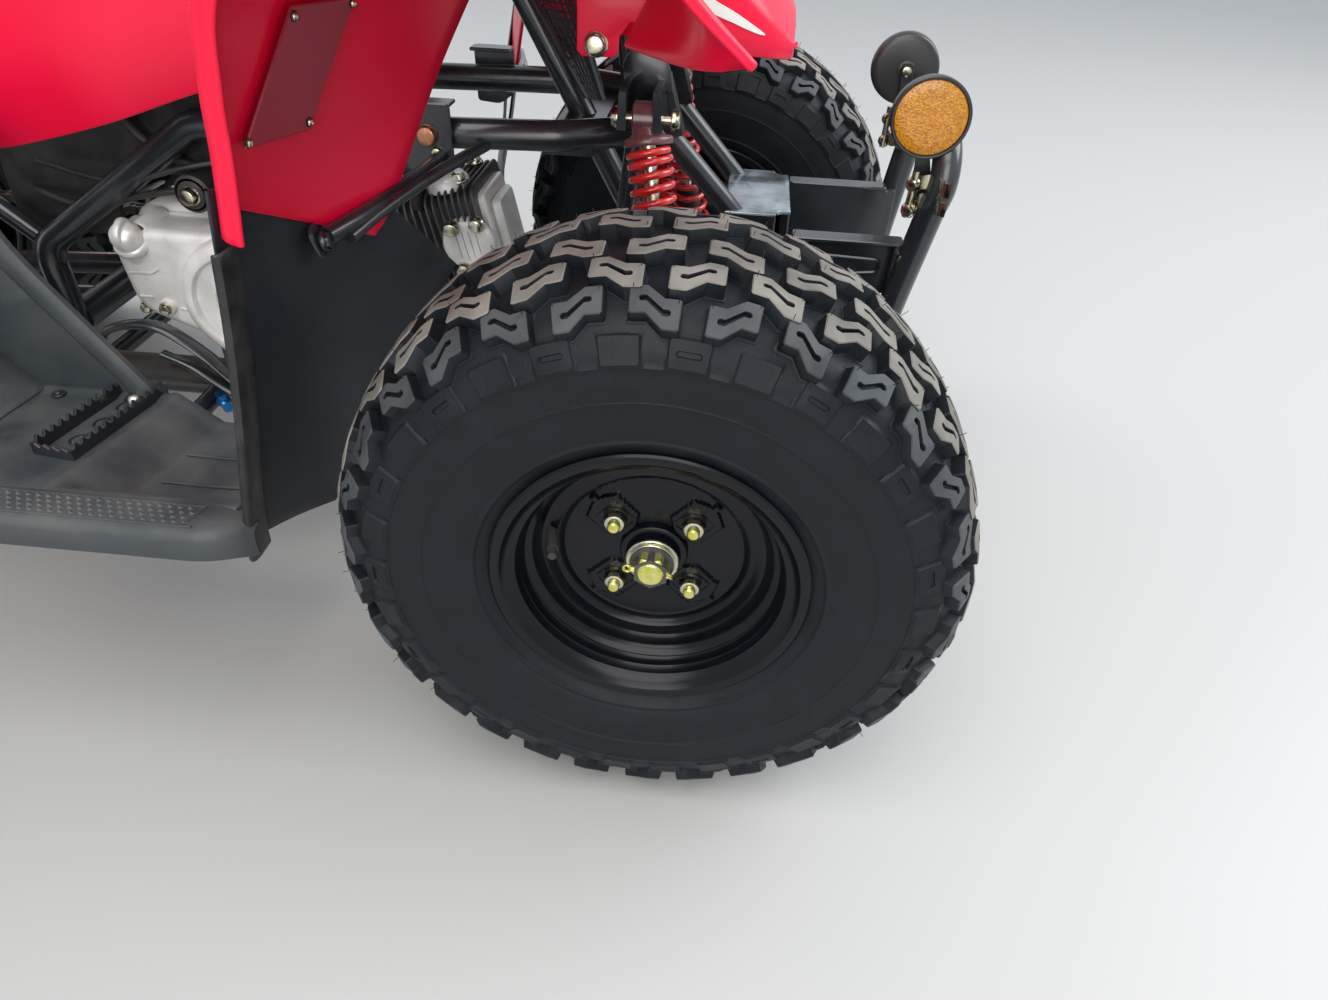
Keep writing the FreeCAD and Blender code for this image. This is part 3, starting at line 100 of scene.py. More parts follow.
def dust_group():
    """Dust that settles in patches on what faces up."""
    inputs = [("Colour", "Color"), ("Dust", "Color"), ("Cover", "Float"), ("Scale", "Float")]
    group, given, result = new_group("settled_dust", inputs, [("Colour", "Color"), ("Mask", "Float")])
    spot = add(group, "ShaderNodeTexCoord")
    up = add(group, "ShaderNodeSeparateXYZ", {"Vector": spot.outputs["Normal"]})
    facing = add(group, "ShaderNodeMapRange", {"Value": up.outputs["Z"], "From Min": -0.2, "From Max": 0.9,
                                               "To Min": 0.15})
    patch = add(group, "ShaderNodeTexNoise", {"Vector": spot.outputs["Object"],
                                              "Scale": given.outputs["Scale"], "Detail": 8.0})
    spread = add(group, "ShaderNodeMapRange", {"Value": patch.outputs["Fac"], "From Min": 0.38,
                                               "From Max": 0.72})
    both = add(group, "ShaderNodeMath", {0: facing.outputs["Result"], 1: spread.outputs["Result"]},
               operation="MULTIPLY")
    mask = add(group, "ShaderNodeMath", {0: both.outputs[0], 1: given.outputs["Cover"]},
               operation="MULTIPLY")
    mixed = add(group, "ShaderNodeMix", {"Factor": mask.outputs[0]}, data_type="RGBA")
    group.links.new(given.outputs["Colour"], mixed.inputs["A"])
    group.links.new(given.outputs["Dust"], mixed.inputs["B"])
    group.links.new(mixed.outputs["Result"], result.inputs["Colour"])
    group.links.new(mask.outputs[0], result.inputs["Mask"])
    return group


GRAIN = grain_group()
DUST = dust_group()
DUST_GREY = (0.24, 0.22, 0.19)


def finish(name, colour, shade, roughness, spread=0.1, scale=14.0, fine_scale=900.0, bump=0.15, dust=0.0,
           metallic=0.0, **sockets):
    """A surface finish: two-tone grain, fine relief and settled dust on a Principled shader."""
    made = bpy.data.materials.new(name)
    made.use_nodes = True
    tree = made.node_tree
    shader = tree.nodes["Principled BSDF"]
    grain = add(tree, "ShaderNodeGroup", node_tree=GRAIN)
    values = {"Colour": (*colour, 1), "Shade": (*shade, 1), "Scale": scale, "Fine Scale": fine_scale,
              "Roughness": roughness, "Spread": spread}
    for socket, value in values.items():
        grain.inputs[socket].default_value = value
    tint = grain.outputs["Colour"]
    if dust:
        settled = add(tree, "ShaderNodeGroup", node_tree=DUST)
        settled.inputs["Dust"].default_value = (*DUST_GREY, 1)
        settled.inputs["Cover"].default_value = dust
        settled.inputs["Scale"].default_value = DUST_PATCHES
        tree.links.new(tint, settled.inputs["Colour"])
        tint = settled.outputs["Colour"]
    tree.links.new(tint, shader.inputs["Base Color"])
    tree.links.new(grain.outputs["Roughness"], shader.inputs["Roughness"])
    relief = add(tree, "ShaderNodeBump", {"Height": grain.outputs["Height"], "Strength": bump,
                                          "Distance": RELIEF_DEPTH})
    tree.links.new(relief.outputs["Normal"], shader.inputs["Normal"])
    shader.inputs["Metallic"].default_value = metallic
    for socket, value in sockets.items():
        shader.inputs[socket.replace("_", " ")].default_value = value
    return made


def dress(names, *finishes):
    """Gives the named frame solids their finish."""
    for name in names:
        held = nodes[name].data.materials
        held.clear()
        for one in finishes:
            held.append(one)


frame_paint = finish("frame_paint", FRAME_BLACK_BLUE_REFLECTION, FRAME_SHADE_BLUE_REFLECTION, 0.30, 0.12, bump=0.05, dust=0.10,
                     Coat_Weight=0.35, Coat_Roughness=0.12)
dress(FRAME_NODES, frame_paint)


# Weld beads: a rippled ring of filler where each cross tube of the frame meets a rail. They are laid by
# hand before the frame is sprayed, so they wear the same black.
WELDS = [
    # place, direction of the tube that ends there, tube radius (all millimetres)
    ((609, 80, 192), (0, 1, 0), 10), ((551, 92, 190), (0, 1, 0), 10), ((439, 96, 186), (0, 1, 0), 10),
    ((78, 96, 456), (0, 1, 0), 10), ((-84, 96, 349), (0, 1, 0), 10),
]
BEAD_R, BEAD_STANDS, RIPPLE_DEPTH, RIPPLES = 2.0, 1.2, 0.35, 14
MERGE_GAP = 0.000002


def smooth_line(points, per_span):
    """Points along a smooth curve through the given ones."""
    given = np.asarray(points, float)
    padded = np.vstack([2 * given[0] - given[1], given, 2 * given[-1] - given[-2]])
    share = np.linspace(0, 1, per_span, endpoint=False)[:, None]
    spans = []
    for a, b, c, d in zip(padded, padded[1:], padded[2:], padded[3:]):
        bend = 2 * a - 5 * b + 4 * c - d + share * (3 * (b - c) + d - a)
        spans.append(b + 0.5 * share * (c - a + share * bend))
    return np.vstack(spans + [given[-1:]])


def spokes_round(axis, angle):
    """Unit vectors square to the axis, one at each angle."""
    side = np.cross(axis, (1, 0, 0) if abs(axis[0]) < 0.9 else (0, 0, 1))
    side /= np.linalg.norm(side)
    return side * np.cos(angle)[:, None] + np.cross(axis, side) * np.sin(angle)[:, None]


class Form:
    """Points and faces gathered for one piece, in millimetres, each face with its finish's number."""

    def __init__(self):
        self.points = np.zeros((0, 3))
        self.faces = []
        self.slots = []

    def put(self, points, faces, slot=0):
        """Adds points, and faces given by their numbers among those points."""
        start = len(self.points)
        self.points = np.vstack([self.points, np.asarray(points, float).reshape(-1, 3)])
        self.faces += [tuple(int(i) + start for i in face) for face in faces]
        self.slots += [slot] * len(faces)

    def grid(self, rows, closed=False, looped=False, slot=0):
        """A sheet through rows of points, closed along each row, looped from the last row to the first."""
        rows = np.asarray(rows, float)
        count, wide = rows.shape[:2]
        down = range(count if looped else count - 1)
        across = range(wide if closed else wide - 1)
        faces = [(i * wide + j, i * wide + (j + 1) % wide, (i + 1) % count * wide + (j + 1) % wide,
                  (i + 1) % count * wide + j) for i in down for j in across]
        self.put(rows, faces, slot)

    def turned(self, profile, centre, axis=(0, 1, 0), steps=64, slot=0):
        """A turned shape from (along, radius) pairs, about an axis through centre."""
        axis = np.array(axis, float) / np.linalg.norm(axis)
        spokes = spokes_round(axis, np.arange(steps) * 2 * math.pi / steps)
        self.grid([np.array(centre, float) + axis * a + spokes * r for a, r in profile], closed=True,
                  slot=slot)

    def bar(self, path, radius, sides=12, slot=0, capped=True, squash=1.0):
        """A round bar along a path of points."""
        path = np.asarray(path, float)
        ahead = np.gradient(path, axis=0)
        ahead /= np.linalg.norm(ahead, axis=1)[:, None]
        side = np.cross(ahead[0], (0, 0, 1) if abs(ahead[0][2]) < 0.9 else (1, 0, 0))
        angle = np.arange(sides) * 2 * math.pi / sides
        rows = []
        for point, way in zip(path, ahead):
            side = side - way * side.dot(way)
            side /= np.linalg.norm(side)
            other = np.cross(way, side)
            ring = np.outer(np.cos(angle), side) + np.outer(np.sin(angle), other * squash)
            rows.append(point + radius * ring)
        start = len(self.points)
        self.grid(rows, closed=True, slot=slot)
        if capped:
            self.faces += [tuple(start + i for i in range(sides)),
                           tuple(start + len(rows) * sides - 1 - i for i in range(sides))]
            self.slots += [slot, slot]

    def prism(self, outline, depth, origin=(0, 0, 0), u=(1, 0, 0), v=(0, 0, 1), slot=0, bevel=0.0, steps=1):
        """A plate from an outline in the plane of u and v, as thick as the depth, with rounded rims."""
        outline, depth = np.asarray(outline, float), np.asarray(depth, float)
        u, v = np.asarray(u, float), np.asarray(v, float)
        count = len(outline)
        before, after = np.roll(outline, 1, 0), np.roll(outline, -1, 0)
        turn = np.sign(np.sum(outline[:, 0] * after[:, 1] - outline[:, 1] * after[:, 0]))
        edge_in, edge_out = outline - before, after - outline
        normals = [turn * np.stack([-e[:, 1], e[:, 0]], 1) / np.linalg.norm(e, axis=1)[:, None]
                   for e in (edge_in, edge_out)]
        inward = normals[0] + normals[1]
        inward /= np.maximum(1 + np.sum(normals[0] * normals[1], axis=1), 0.3)[:, None]
        thick = np.linalg.norm(depth)
        rounding = [((1 - math.cos(a)) * bevel / thick, bevel * (1 - math.sin(a)))
                    for a in np.linspace(0, math.pi / 2, steps + 1)]
        levels = rounding + [(1 - share, inset) for share, inset in rounding[::-1]]
        if not bevel:
            levels = [(0, 0), (1, 0)]
        rows = []
        for share, inset in levels:
            flat = outline + inward * inset
            rows.append(np.asarray(origin, float) + flat[:, :1] * u + flat[:, 1:] * v + depth * share)
        start = len(self.points)
        self.grid(rows, closed=True, slot=slot)
        last = start + (len(rows) - 1) * count
        self.faces += [tuple(start + i for i in range(count)), tuple(last + count - 1 - i
                                                                     for i in range(count))]
        self.slots += [slot, slot]

    def mirrored(self):
        """The same form on the other side of the vehicle."""
        twin = Form()
        twin.put(self.points * (1, -1, 1), [face[::-1] for face in self.faces])
        twin.slots = list(self.slots)
        return twin

    def paired(self):
        """This form together with its mirror image."""
        both = self.mirrored()
        both.put(self.points, self.faces)
        both.slots[len(self.faces):] = self.slots
        return both

    def piece(self, name, body, finishes, sharp=32.0, replaces=None):
        """Makes the Blender piece, which rides on a body and may stand in for a frame solid."""
        mesh = bpy.data.meshes.new(name)
        mesh.from_pydata((self.points * MM).tolist(), [], self.faces)
        for one in finishes:
            mesh.materials.append(one)
        mesh.polygons.foreach_set("material_index", self.slots)
        welded = bmesh.new()
        welded.from_mesh(mesh)
        bmesh.ops.remove_doubles(welded, verts=welded.verts, dist=MERGE_GAP)
        bmesh.ops.recalc_face_normals(welded, faces=welded.faces)
        welded.to_mesh(mesh)
        welded.free()
        mesh.polygons.foreach_set("use_smooth", [True] * len(mesh.polygons))
        mesh.set_sharp_from_angle(angle=math.radians(sharp))
        made = bpy.data.objects.new(name, mesh)
        bpy.context.collection.objects.link(made)
        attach(made, body)
        if replaces:
            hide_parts(replaces)
        return made


beads = Form()
for place, way, tube_r in WELDS:
    for sign in (-1, 1):
        spot = np.array(place, float) * (1, sign, 1)
        around = np.linspace(0, 2 * math.pi, 41)
        ripple = tube_r + BEAD_STANDS + RIPPLE_DEPTH * np.sin(around * RIPPLES)
        ring = spot + np.stack([ripple * np.cos(around), around * 0, ripple * np.sin(around)], 1)
        beads.bar(ring, BEAD_R, 8, capped=False)
beads.piece("weld_beads", "chassis", [frame_paint])


# Fasteners: flanged hexagon bolts and nuts of zinc-plated steel, some bright and some passivated yellow.
# Their corners are chamfered, and a flange or washer spreads the load.
CHAMFER = 1.6
CASTLE_SLOT, CASTLE_SLOT_HALF = 4.2, 0.14
SIXTH = math.pi / 3


def hexagon(form, centre, axis, across, height, slot=0, flange_r=0.0, notches=False):
    """A hexagon nut or bolt head with a rounded top, on an optional flange."""
    centre, axis = np.array(centre, float), np.array(axis, float)
    corner = across / math.sqrt(3)
    if flange_r:
        form.turned([(-0.5, flange_r - 0.4), (0.6, flange_r), (1.8, flange_r - 0.3), (3.2, corner + 0.4)],
                    centre, axis, 28, slot)
    angle = np.arange(36) * math.pi / 18
    off_flat = (angle + SIXTH / 2) % SIXTH - SIXTH / 2
    flat = across / 2 / np.cos(off_flat)
    spokes = spokes_round(axis, angle)
    rows = [centre + spokes * flat[:, None]]
    levels = [(height - CHAMFER, corner), (height - 0.5, across / 2 + 0.1), (height, across / 2 - 1.2),
              (height, 0.01)]
    for level, limit in levels:
        size = np.minimum(flat, limit)[:, None]
        rise = np.full((36, 1), level)
        if notches and level >= height - CHAMFER:
            rise = rise - CASTLE_SLOT * (np.abs(off_flat) < CASTLE_SLOT_HALF)[:, None]
        rows.append(centre + spokes * size + axis * rise)
    form.grid(rows, closed=True, slot=slot)


zinc = finish("zinc_plate", (0.46, 0.46, 0.42), (0.62, 0.58, 0.36), 0.26, 0.16, scale=120.0, bump=0.08,
              metallic=1.0)
yellow_zinc = finish("yellow_zinc_plate", (0.56, 0.50, 0.06), (0.66, 0.66, 0.30), 0.30, 0.18, scale=160.0,
                     bump=0.1, metallic=0.85)
cast_grey = finish("cast_iron", (0.030, 0.030, 0.032), (0.06, 0.058, 0.055), 0.55, 0.15, scale=60,
                   fine_scale=500, bump=0.3)


# The engine: an air-cooled single with a flat-lying barrel. The case, its covers and the finned head are
# cast aluminium left as cast. Flanged screws hold the covers round their rims, and the oil filler stands on
# the right one.
CASE_LINE = [(-25, 350), (-13, 372), (85, 382), (165, 376), (213, 368), (213, 270), (165, 228), (35, 222),
             (-15, 256)]
COVER_LINE = [(-21, 356), (5, 367), (105, 366), (203, 358), (207, 272), (155, 242), (65, 254), (-13, 284)]
BULGE = (105.0, 304.0)
CASE_LEFT, CASE_RIGHT, COVER_RIGHT = 62.0, -88.0, -134.0
LOW_SCREW = (20, 291)
COVER_MIDDLE = np.array((93, CASE_RIGHT, 306))
LEFT_COVER, LEFT_SCREW_RING = (135, 306), 55.0
OUTPUT_SHAFT = (-20, 268)
MOUNT_BOLT = (66, 398)
TO_RIGHT, TO_LEFT = (0, -1, 0), (0, 1, 0)


def ray(degrees):
    """The unit vector at an angle in a flat outline's plane."""
    return np.array((math.cos(math.radians(degrees)), math.sin(math.radians(degrees))))


def rounded(outline, cut, steps=4):
    """A closed outline whose corners are curves that start at the cut distance from each corner."""
    outline = np.asarray(outline, float)
    line = []
    for before, corner, after in zip(np.roll(outline, 1, 0), outline, np.roll(outline, -1, 0)):
        ends = []
        for other in (before, after):
            edge = other - corner
            length = np.linalg.norm(edge)
            ends.append(corner + edge * min(cut / length, 0.45))
        for s in np.linspace(0, 1, steps):
            line.append(ends[0] * (1 - s) ** 2 + corner * 2 * s * (1 - s) + ends[1] * s * s)
    return np.array(line)


cast_alloy = finish("cast_alloy", (0.58, 0.575, 0.555), (0.72, 0.71, 0.685), 0.38, 0.18, scale=45.0,
                    fine_scale=900.0, bump=0.25, dust=0.06, metallic=0.25)
# The fins' alloy is painted far darker than the case: painted shade for the shadows between the fins.
alloy_in_painted_shade = finish("alloy_in_painted_shade", (0.055, 0.058, 0.062), (0.11, 0.112, 0.115), 0.45, 0.2, scale=60.0,
                   fine_scale=600.0, bump=0.5, dust=0.10, metallic=0.5)
black_cast = finish("black_cast", (0.012, 0.012, 0.013), (0.030, 0.029, 0.028), 0.45, 0.2, scale=50,
                    fine_scale=600, bump=0.3, dust=0.12)
ENGINE_FINISHES = [cast_alloy, zinc, black_cast, alloy_in_painted_shade]
case = Form()
case.prism(rounded(CASE_LINE, 14), (0, 146, 0), (0, -84, 0), bevel=5, steps=3)
case.prism(rounded(np.array(COVER_LINE) * 1.02 + (-2, -6), 20), (0, 6, 0), (0, CASE_RIGHT, 0), bevel=1.2)
case.prism(rounded(COVER_LINE, 22, 7), (0, 48, 0), (0, COVER_RIGHT, 0), bevel=10, steps=6)
BULGE_PROFILE = [(0, 63.5), (10, 62.5), (15, 60), (18.5, 55.5), (19.5, 51), (19, 48.5), (16.5, 47),
                 (14.5, 46), (14, 43), (14, 0.05)]
bulge_face = (BULGE[0], COVER_RIGHT + 4, BULGE[1])
case.turned(BULGE_PROFILE, bulge_face, TO_RIGHT, 96)
case.turned([(13, 31), (15.2, 30), (15.2, 27.5), (13, 26.5)], bulge_face, TO_RIGHT, 72)
BOSS_HEIGHT, LOW_BOSS_STANDS = 38.5, 12.0
for place in COVER_LINE + [LOW_SCREW]:
    boss = np.array((place[0], CASE_RIGHT, place[1]), float)
    if place == LOW_SCREW:
        boss += (0, -LOW_BOSS_STANDS, 0)
    else:
        boss += (COVER_MIDDLE - boss) * 0.05
    case.turned([(0, 9.5), (36, 8.6), (BOSS_HEIGHT, 7.4), (BOSS_HEIGHT, 3)], boss, TO_RIGHT, 28)
    hexagon(case, boss + (0, -BOSS_HEIGHT, 0), TO_RIGHT, across=9.0, height=6.0, slot=1, flange_r=6.4)
for path in ([(-9, 324), (14, 325), (22, 330)], [(-6, 300), (8, 300)], [(32, 290), (44, 288)]):
    case.bar([(x, COVER_RIGHT + 0.4, z) for x, z in path], 1.6, 8)
FILLER, FILLER_AXIS = np.array((2.0, -122.0, 340.0)), np.array((0, -0.555, 0.832))
FILLER_KNOB = [(-8, 14.5), (10, 13.5), (12, 13.2), (12.5, 16.4), (14, 17.2), (18, 17.2), (19.5, 16.2),
               (20.5, 14.6), (29, 14.0), (33, 12.6), (36, 9.5), (37.5, 5), (38, 0.05)]
case.turned(FILLER_KNOB, FILLER, FILLER_AXIS, 48)
grip_side = np.cross(FILLER_AXIS, (1, 0, 0))
case.prism(rounded([(-15, 20), (15, 20), (13, 38), (6, 43), (-6, 43), (-13, 38)], 5), (7, 0, 0),
           FILLER - (3.5, 0, 0), grip_side, FILLER_AXIS, bevel=2, steps=3)
case.turned([(0, 64), (20, 62), (26, 58), (29, 50), (30, 20), (30, 0.05)],
            (LEFT_COVER[0], CASE_LEFT, LEFT_COVER[1]), TO_LEFT, 72)
for degrees in range(30, 390, 60):
    x, z = LEFT_SCREW_RING * ray(degrees) + LEFT_COVER
    hexagon(case, (x, CASE_LEFT + 22, z), TO_LEFT, across=9.0, height=5.0, slot=1, flange_r=6.4)
case.turned([(20, 24), (68, 24), (68, 0.05)], (OUTPUT_SHAFT[0], 0, OUTPUT_SHAFT[1]), TO_LEFT, 40, slot=1)
PINION_R, PINION_TOOTH, PINION_TEETH = 33.8, 6.5, 13
step = 90 / PINION_TEETH
teeth = [(PINION_R - PINION_TOOTH * (i % 4 in (2, 3))) * ray(i * step) + OUTPUT_SHAFT
         for i in range(PINION_TEETH * 4)]
case.prism(teeth, (0, 6, 0), (0, 69, 0), slot=1, bevel=0.5)
mount = (MOUNT_BOLT[0], -118, MOUNT_BOLT[1])
case.turned([(0, 15), (2, 17.5), (62, 17.5), (64, 16)], mount, TO_LEFT, 40, slot=2)
case.turned([(1, 12.5), (-1, 13), (-2, 12), (-2, 8)], mount, TO_LEFT, 36, slot=2)
hexagon(case, (mount[0], mount[1] - 1, mount[2]), TO_RIGHT, across=13.5, height=9.0, slot=1, flange_r=9.6)
case.piece("engine_cast_case", "chassis", ENGINE_FINISHES, sharp=38, replaces="engine_case")

BARREL_BASE, BARREL_TILT = np.array((211.0, 0.0, 322.0)), 12.0
BARREL_AXIS = np.insert(ray(BARREL_TILT), 1, 0)
BARREL_UP = np.insert(ray(BARREL_TILT + 90), 1, 0)
FIN_PITCH, HEAD_FIN_PITCH = 7.4, 6.8
barrel = Form()
# start and length along the barrel, half width, half height, corner, finish, bevel
slabs = [(1, 71, 34, 38, 12, 0, 0.0), (70, 48, 40, 44, 10, 0, 2.0), (118, 10, 29, 33, 10, 0, 3.0)]
slabs += [(7 + i * FIN_PITCH, 2.6, 51, 53, 18, 3, 0.9) for i in range(9)]
slabs += [(75 + i * HEAD_FIN_PITCH, 2.4, 53, 55, 14, 3, 0.9) for i in range(6)]
for start, length, half_y, half_up, cut, slot, bevel in slabs:
    corners = [(-half_y, -half_up), (half_y, -half_up), (half_y, half_up), (-half_y, half_up)]
    foot = BARREL_BASE + BARREL_AXIS * start
    barrel.prism(rounded(corners, cut), BARREL_AXIS * length, foot, TO_LEFT, BARREL_UP, slot, bevel)
for along_head, side, rise, way in ((82, -54, 20, TO_RIGHT), (108, -54, 20, TO_RIGHT),
                                    (82, -54, -24, TO_RIGHT), (108, -54, -24, TO_RIGHT),
                                    (95, -30, 56, BARREL_UP), (95, 30, 56, BARREL_UP)):
    spot = BARREL_BASE + BARREL_AXIS * along_head + (0, side, 0) + BARREL_UP * rise
    hexagon(barrel, spot, way, across=12, height=9, slot=1, flange_r=8.5)
cap = BARREL_BASE + BARREL_AXIS * 80 + (0, -22, 0) + BARREL_UP * 50
barrel.turned([(0, 22), (8, 21.5), (13, 18), (15, 12), (15, 5)], cap, BARREL_UP, 40, slot=0)
hexagon(barrel, cap + BARREL_UP * 15, BARREL_UP, across=17, height=9, slot=1)
side_cap = BARREL_BASE + BARREL_AXIS * 92 + (0, -44, 0)
barrel.turned([(0, 27), (5, 27), (9, 24), (10, 18), (9, 15), (9, 0.05)], side_cap, TO_RIGHT, 48)
barrel.piece("engine_finned_barrel", "chassis", ENGINE_FINISHES, sharp=38, replaces="engine_cylinder")


# Intake and hoses: a rubber manifold and small carburettor above the case, the air box under the tank
# cover, and soft black hoses. The hoses are pushed on their stubs and held by the box at their far ends.
intake = Form()
intake.bar(smooth_line([(262, 0, 372), (244, 0, 400), (205, 0, 416), (150, 0, 420)], 8), 17, 28)
# The manifold clamp and carburettor wear that same darkened alloy colour, painted shade.
intake.turned([(0, 22), (4, 26), (34, 26), (38, 22)], (196, 0, 417), (-1, 0, 0.05), 40, slot=1)
intake.turned([(0, 19), (3, 21), (50, 21), (52, 18)], (178, 0, 392), (0, 0, 1), 36, slot=1)
box = rounded([(-86, 488), (24, 470), (62, 500), (50, 590), (-70, 596)], 20)
intake.prism(box, (0, 128, 0), (0, -64, 0), bevel=8, steps=4)
intake.bar(smooth_line([(150, 0, 420), (110, 0, 432), (70, 0, 470), (40, 0, 500)], 8), 19, 28)
HOSES = [
    # radius, path
    (6.0, [(252, -46, 374), (255, -52, 398), (262, -56, 428), (250, -58, 470), (214, -50, 520)]),
    (5.0, [(-30, -70, 500), (10, -86, 440), (58, -74, 408), (110, -60, 400)]),
    (3.2, [(84, -100, 400), (20, -106, 392), (-60, -96, 372), (-120, -80, 380)]),
    (2.6, [(120, -96, 430), (60, -112, 420), (-10, -108, 402), (-96, -90, 410)]),
]
for radius, path in HOSES:
    intake.bar(smooth_line(path, 9), radius, 14)
panel_line = [(-150, 336), (-42, 336), (-34, 398), (108, 404), (150, 468), (150, 556), (-140, 556)]
for side in (-76, 70):
    intake.prism(rounded(panel_line, 12), (0, 6, 0), (0, side, 0), bevel=1.5)
intake.piece("intake_and_hoses", "chassis", [black_cast, alloy_in_painted_shade], sharp=38)


# The exhaust: a bent header under the engine and a round silencer beside the seat. It is welded mild steel
# in heat-proof black, duller and browner near the head, with rolled bands round the silencer and a bright
# tip.
exhaust_black = finish("exhaust_black", (0.016, 0.016, 0.016), (0.060, 0.045, 0.034), 0.5, 0.25, scale=18,
                       bump=0.2, dust=0.15)
silencer = Form()
header = [(306, -20, 326), (330, -26, 296), (331, -30, 250), (300, -70, 236), (225, -140, 232),
          (150, -148, 231), (20, -150, 231), (-60, -150, 234), (-110, -150, 268), (-200, -152, 380),
          (-262, -152, 446), (-306, -152, 474)]
silencer.bar(smooth_line(header, 7), 14, 28)
CAN = np.array([(-300, -152, 474), (-345, -154, 487), (-420, -158, 500), (-530, -158, 510),
                (-640, -158, 520)], float)
silencer.bar(smooth_line(CAN, 7), 43, 48, capped=False)
for place, way, reach in ((CAN[0], CAN[0] - CAN[1], 14), (CAN[-1], CAN[-1] - CAN[-2], 9)):
    silencer.turned([(-4, 43), (0, 44), (2, 43.4), (reach, 18), (reach, 15)], place, way, 48)
for place, way in ((CAN[1], CAN[2] - CAN[1]), (CAN[2], CAN[3] - CAN[2]),
                   (CAN[3] * 0.3 + CAN[4] * 0.7, CAN[4] - CAN[3])):
    silencer.turned([(-5, 43), (-4.2, 44), (4.2, 44), (5, 43)], place, way, 48)
silencer.turned([(8, 18.5), (44, 18.5), (46, 17.5), (46, 15.5), (10, 15)], CAN[-1], (-48, 0, 4), 36, slot=1)
silencer.bar([(-470, -158, 548), (-470, -130, 590), (-470, -90, 656)], 7, 14)
for i in range(9):
    slot_spot = CAN[2] + (CAN[4] - CAN[2]) * (0.08 + 0.09 * i)
    silencer.prism(rounded([(-3, -24), (3, -24), (3, 24), (-3, 24)], 3), (0, 2, 0),
                   slot_spot + (0, -43.8, 0), bevel=0.7)
silencer.piece("exhaust_welded", "chassis", [exhaust_black, zinc], sharp=38, replaces="exhaust")


# The front and rear suspension: tube wishbones and swingarm in the frame's black, gas dampers with a bright
# rod, and springs wound from round steel wire, painted red. A spring's end turns are closed and its pitch
# opens downwards.
FRONT_SHOCK = np.array([(484.2, -112.2, 488.0), (529.0, -190.0, 208.0)])
REAR_SHOCK = np.array([(-200.0, 0.0, 604.0), (-340.0, 0.0, 300.0)])


def coil(form, ends, shares, mean_r, wire_r, turns, pitch_top, pitch_foot):
    """A compression spring of round wire between a damper's collars."""
    start, end = (ends[0] + (ends[1] - ends[0]) * share for share in shares)
    length = np.linalg.norm(end - start)
    axis = (end - start) / length
    side = np.cross(axis, (0.3, 1, 0))
    side /= np.linalg.norm(side)
    other = np.cross(axis, side)
    turn = np.linspace(0, turns, turns * 26 + 1)
    pitch = np.where((turn < 1) | (turn > turns - 1), 2 * wire_r,
                     pitch_top + (pitch_foot - pitch_top) * turn / turns)
    height = np.concatenate([[0], np.cumsum((pitch[1:] + pitch[:-1]) / 2 * np.diff(turn))])
    height = wire_r + height * (length - 2 * wire_r) / height[-1]
    angle = (turn * 2 * math.pi)[:, None]
    form.bar(start + axis * height[:, None] + mean_r * (side * np.cos(angle) + other * np.sin(angle)),
             wire_r, 12)


def damper(form, ends, eye_axis, size, collar, seat):
    """Eye with its bolt, neck, upper collar, rod, body, lower collar and lower eye."""
    top, foot = ends
    length = np.linalg.norm(foot - top)
    axis, eye_axis = (foot - top) / length, np.array(eye_axis, float)
    profile = [(4, 12.0), (collar * 0.5, 13.5), (collar - 8, 15.0), (collar - 6, 20.5), (collar - 5, 21.2),
               (collar - 1, 21.2), (collar, 20.5), (collar, 9)]
    form.turned([(a, r * size) for a, r in profile], top, axis, 48, slot=0)
    form.turned([(collar - 2, 6 * size), (length * 0.52, 6 * size)], top, axis, 24, slot=1)
    body = [(length * 0.50, 6.5), (length * 0.50, 11.5), (length * 0.51, 12.6), (seat, 12.6), (seat, 20.6),
            (seat + 1, 21.3), (seat + 8, 21.3), (seat + 9, 20.6), (seat + 9, 12), (length - 8, 11)]
    form.turned([(a, r * size) for a, r in body], top, axis, 40, slot=2)
    for place, slot in ((top, 0), (foot, 2)):
        form.turned([(-11, 6), (-11, 12.5 * size), (-9.5, 14 * size), (9.5, 14 * size), (11, 12.5 * size),
                     (11, 6)], place, eye_axis, 36, slot)
        for sign in (-1, 1):
            hexagon(form, place + eye_axis * sign * (22.0 if sign > 0 else 23.0), eye_axis * sign,
                    across=14.0, height=6.5, slot=1, flange_r=9.0)
        form.turned([(-21, 5), (21, 5)], place, eye_axis, 20, slot=1)


spring_red = finish("spring_red", (0.50, 0.010, 0.010), (0.58, 0.02, 0.02), 0.24, 0.1, scale=30, bump=0.03,
                    dust=0.06, Coat_Weight=0.6, Coat_Roughness=0.1)
# The dampers' top eyes and upper bodies are red; this dull maroon is that red in painted shade.
red_in_painted_shade = finish("shock_red_painted_shade", (0.095, 0.030, 0.034), (0.15, 0.060, 0.062), 0.34, 0.15, scale=40,
                bump=0.08, dust=0.12, Coat_Weight=0.3)
springs = Form()
coil(springs, FRONT_SHOCK, (0.075, 0.85), mean_r=17.2, wire_r=3.3, turns=17, pitch_top=9.0, pitch_foot=16.5)
springs = springs.paired()
coil(springs, REAR_SHOCK, (0.155, 0.855), mean_r=26.0, wire_r=5.0, turns=9, pitch_top=22, pitch_foot=26)
springs.piece("springs_wound", "chassis", [spring_red], sharp=50, replaces="springs")
dampers = Form()
damper(dampers, FRONT_SHOCK, (1, 0, 0), size=1.0, collar=21.0, seat=251.0)
dampers = dampers.paired()
damper(dampers, REAR_SHOCK, TO_LEFT, size=1.3, collar=51.0, seat=287.0)
dampers.piece("dampers_turned", "chassis", [red_in_painted_shade, zinc, black_cast], sharp=38, replaces="dampers")
dress(["front_arms", "swingarm", "tie_rod_right", "tie_rod_left"], frame_paint)
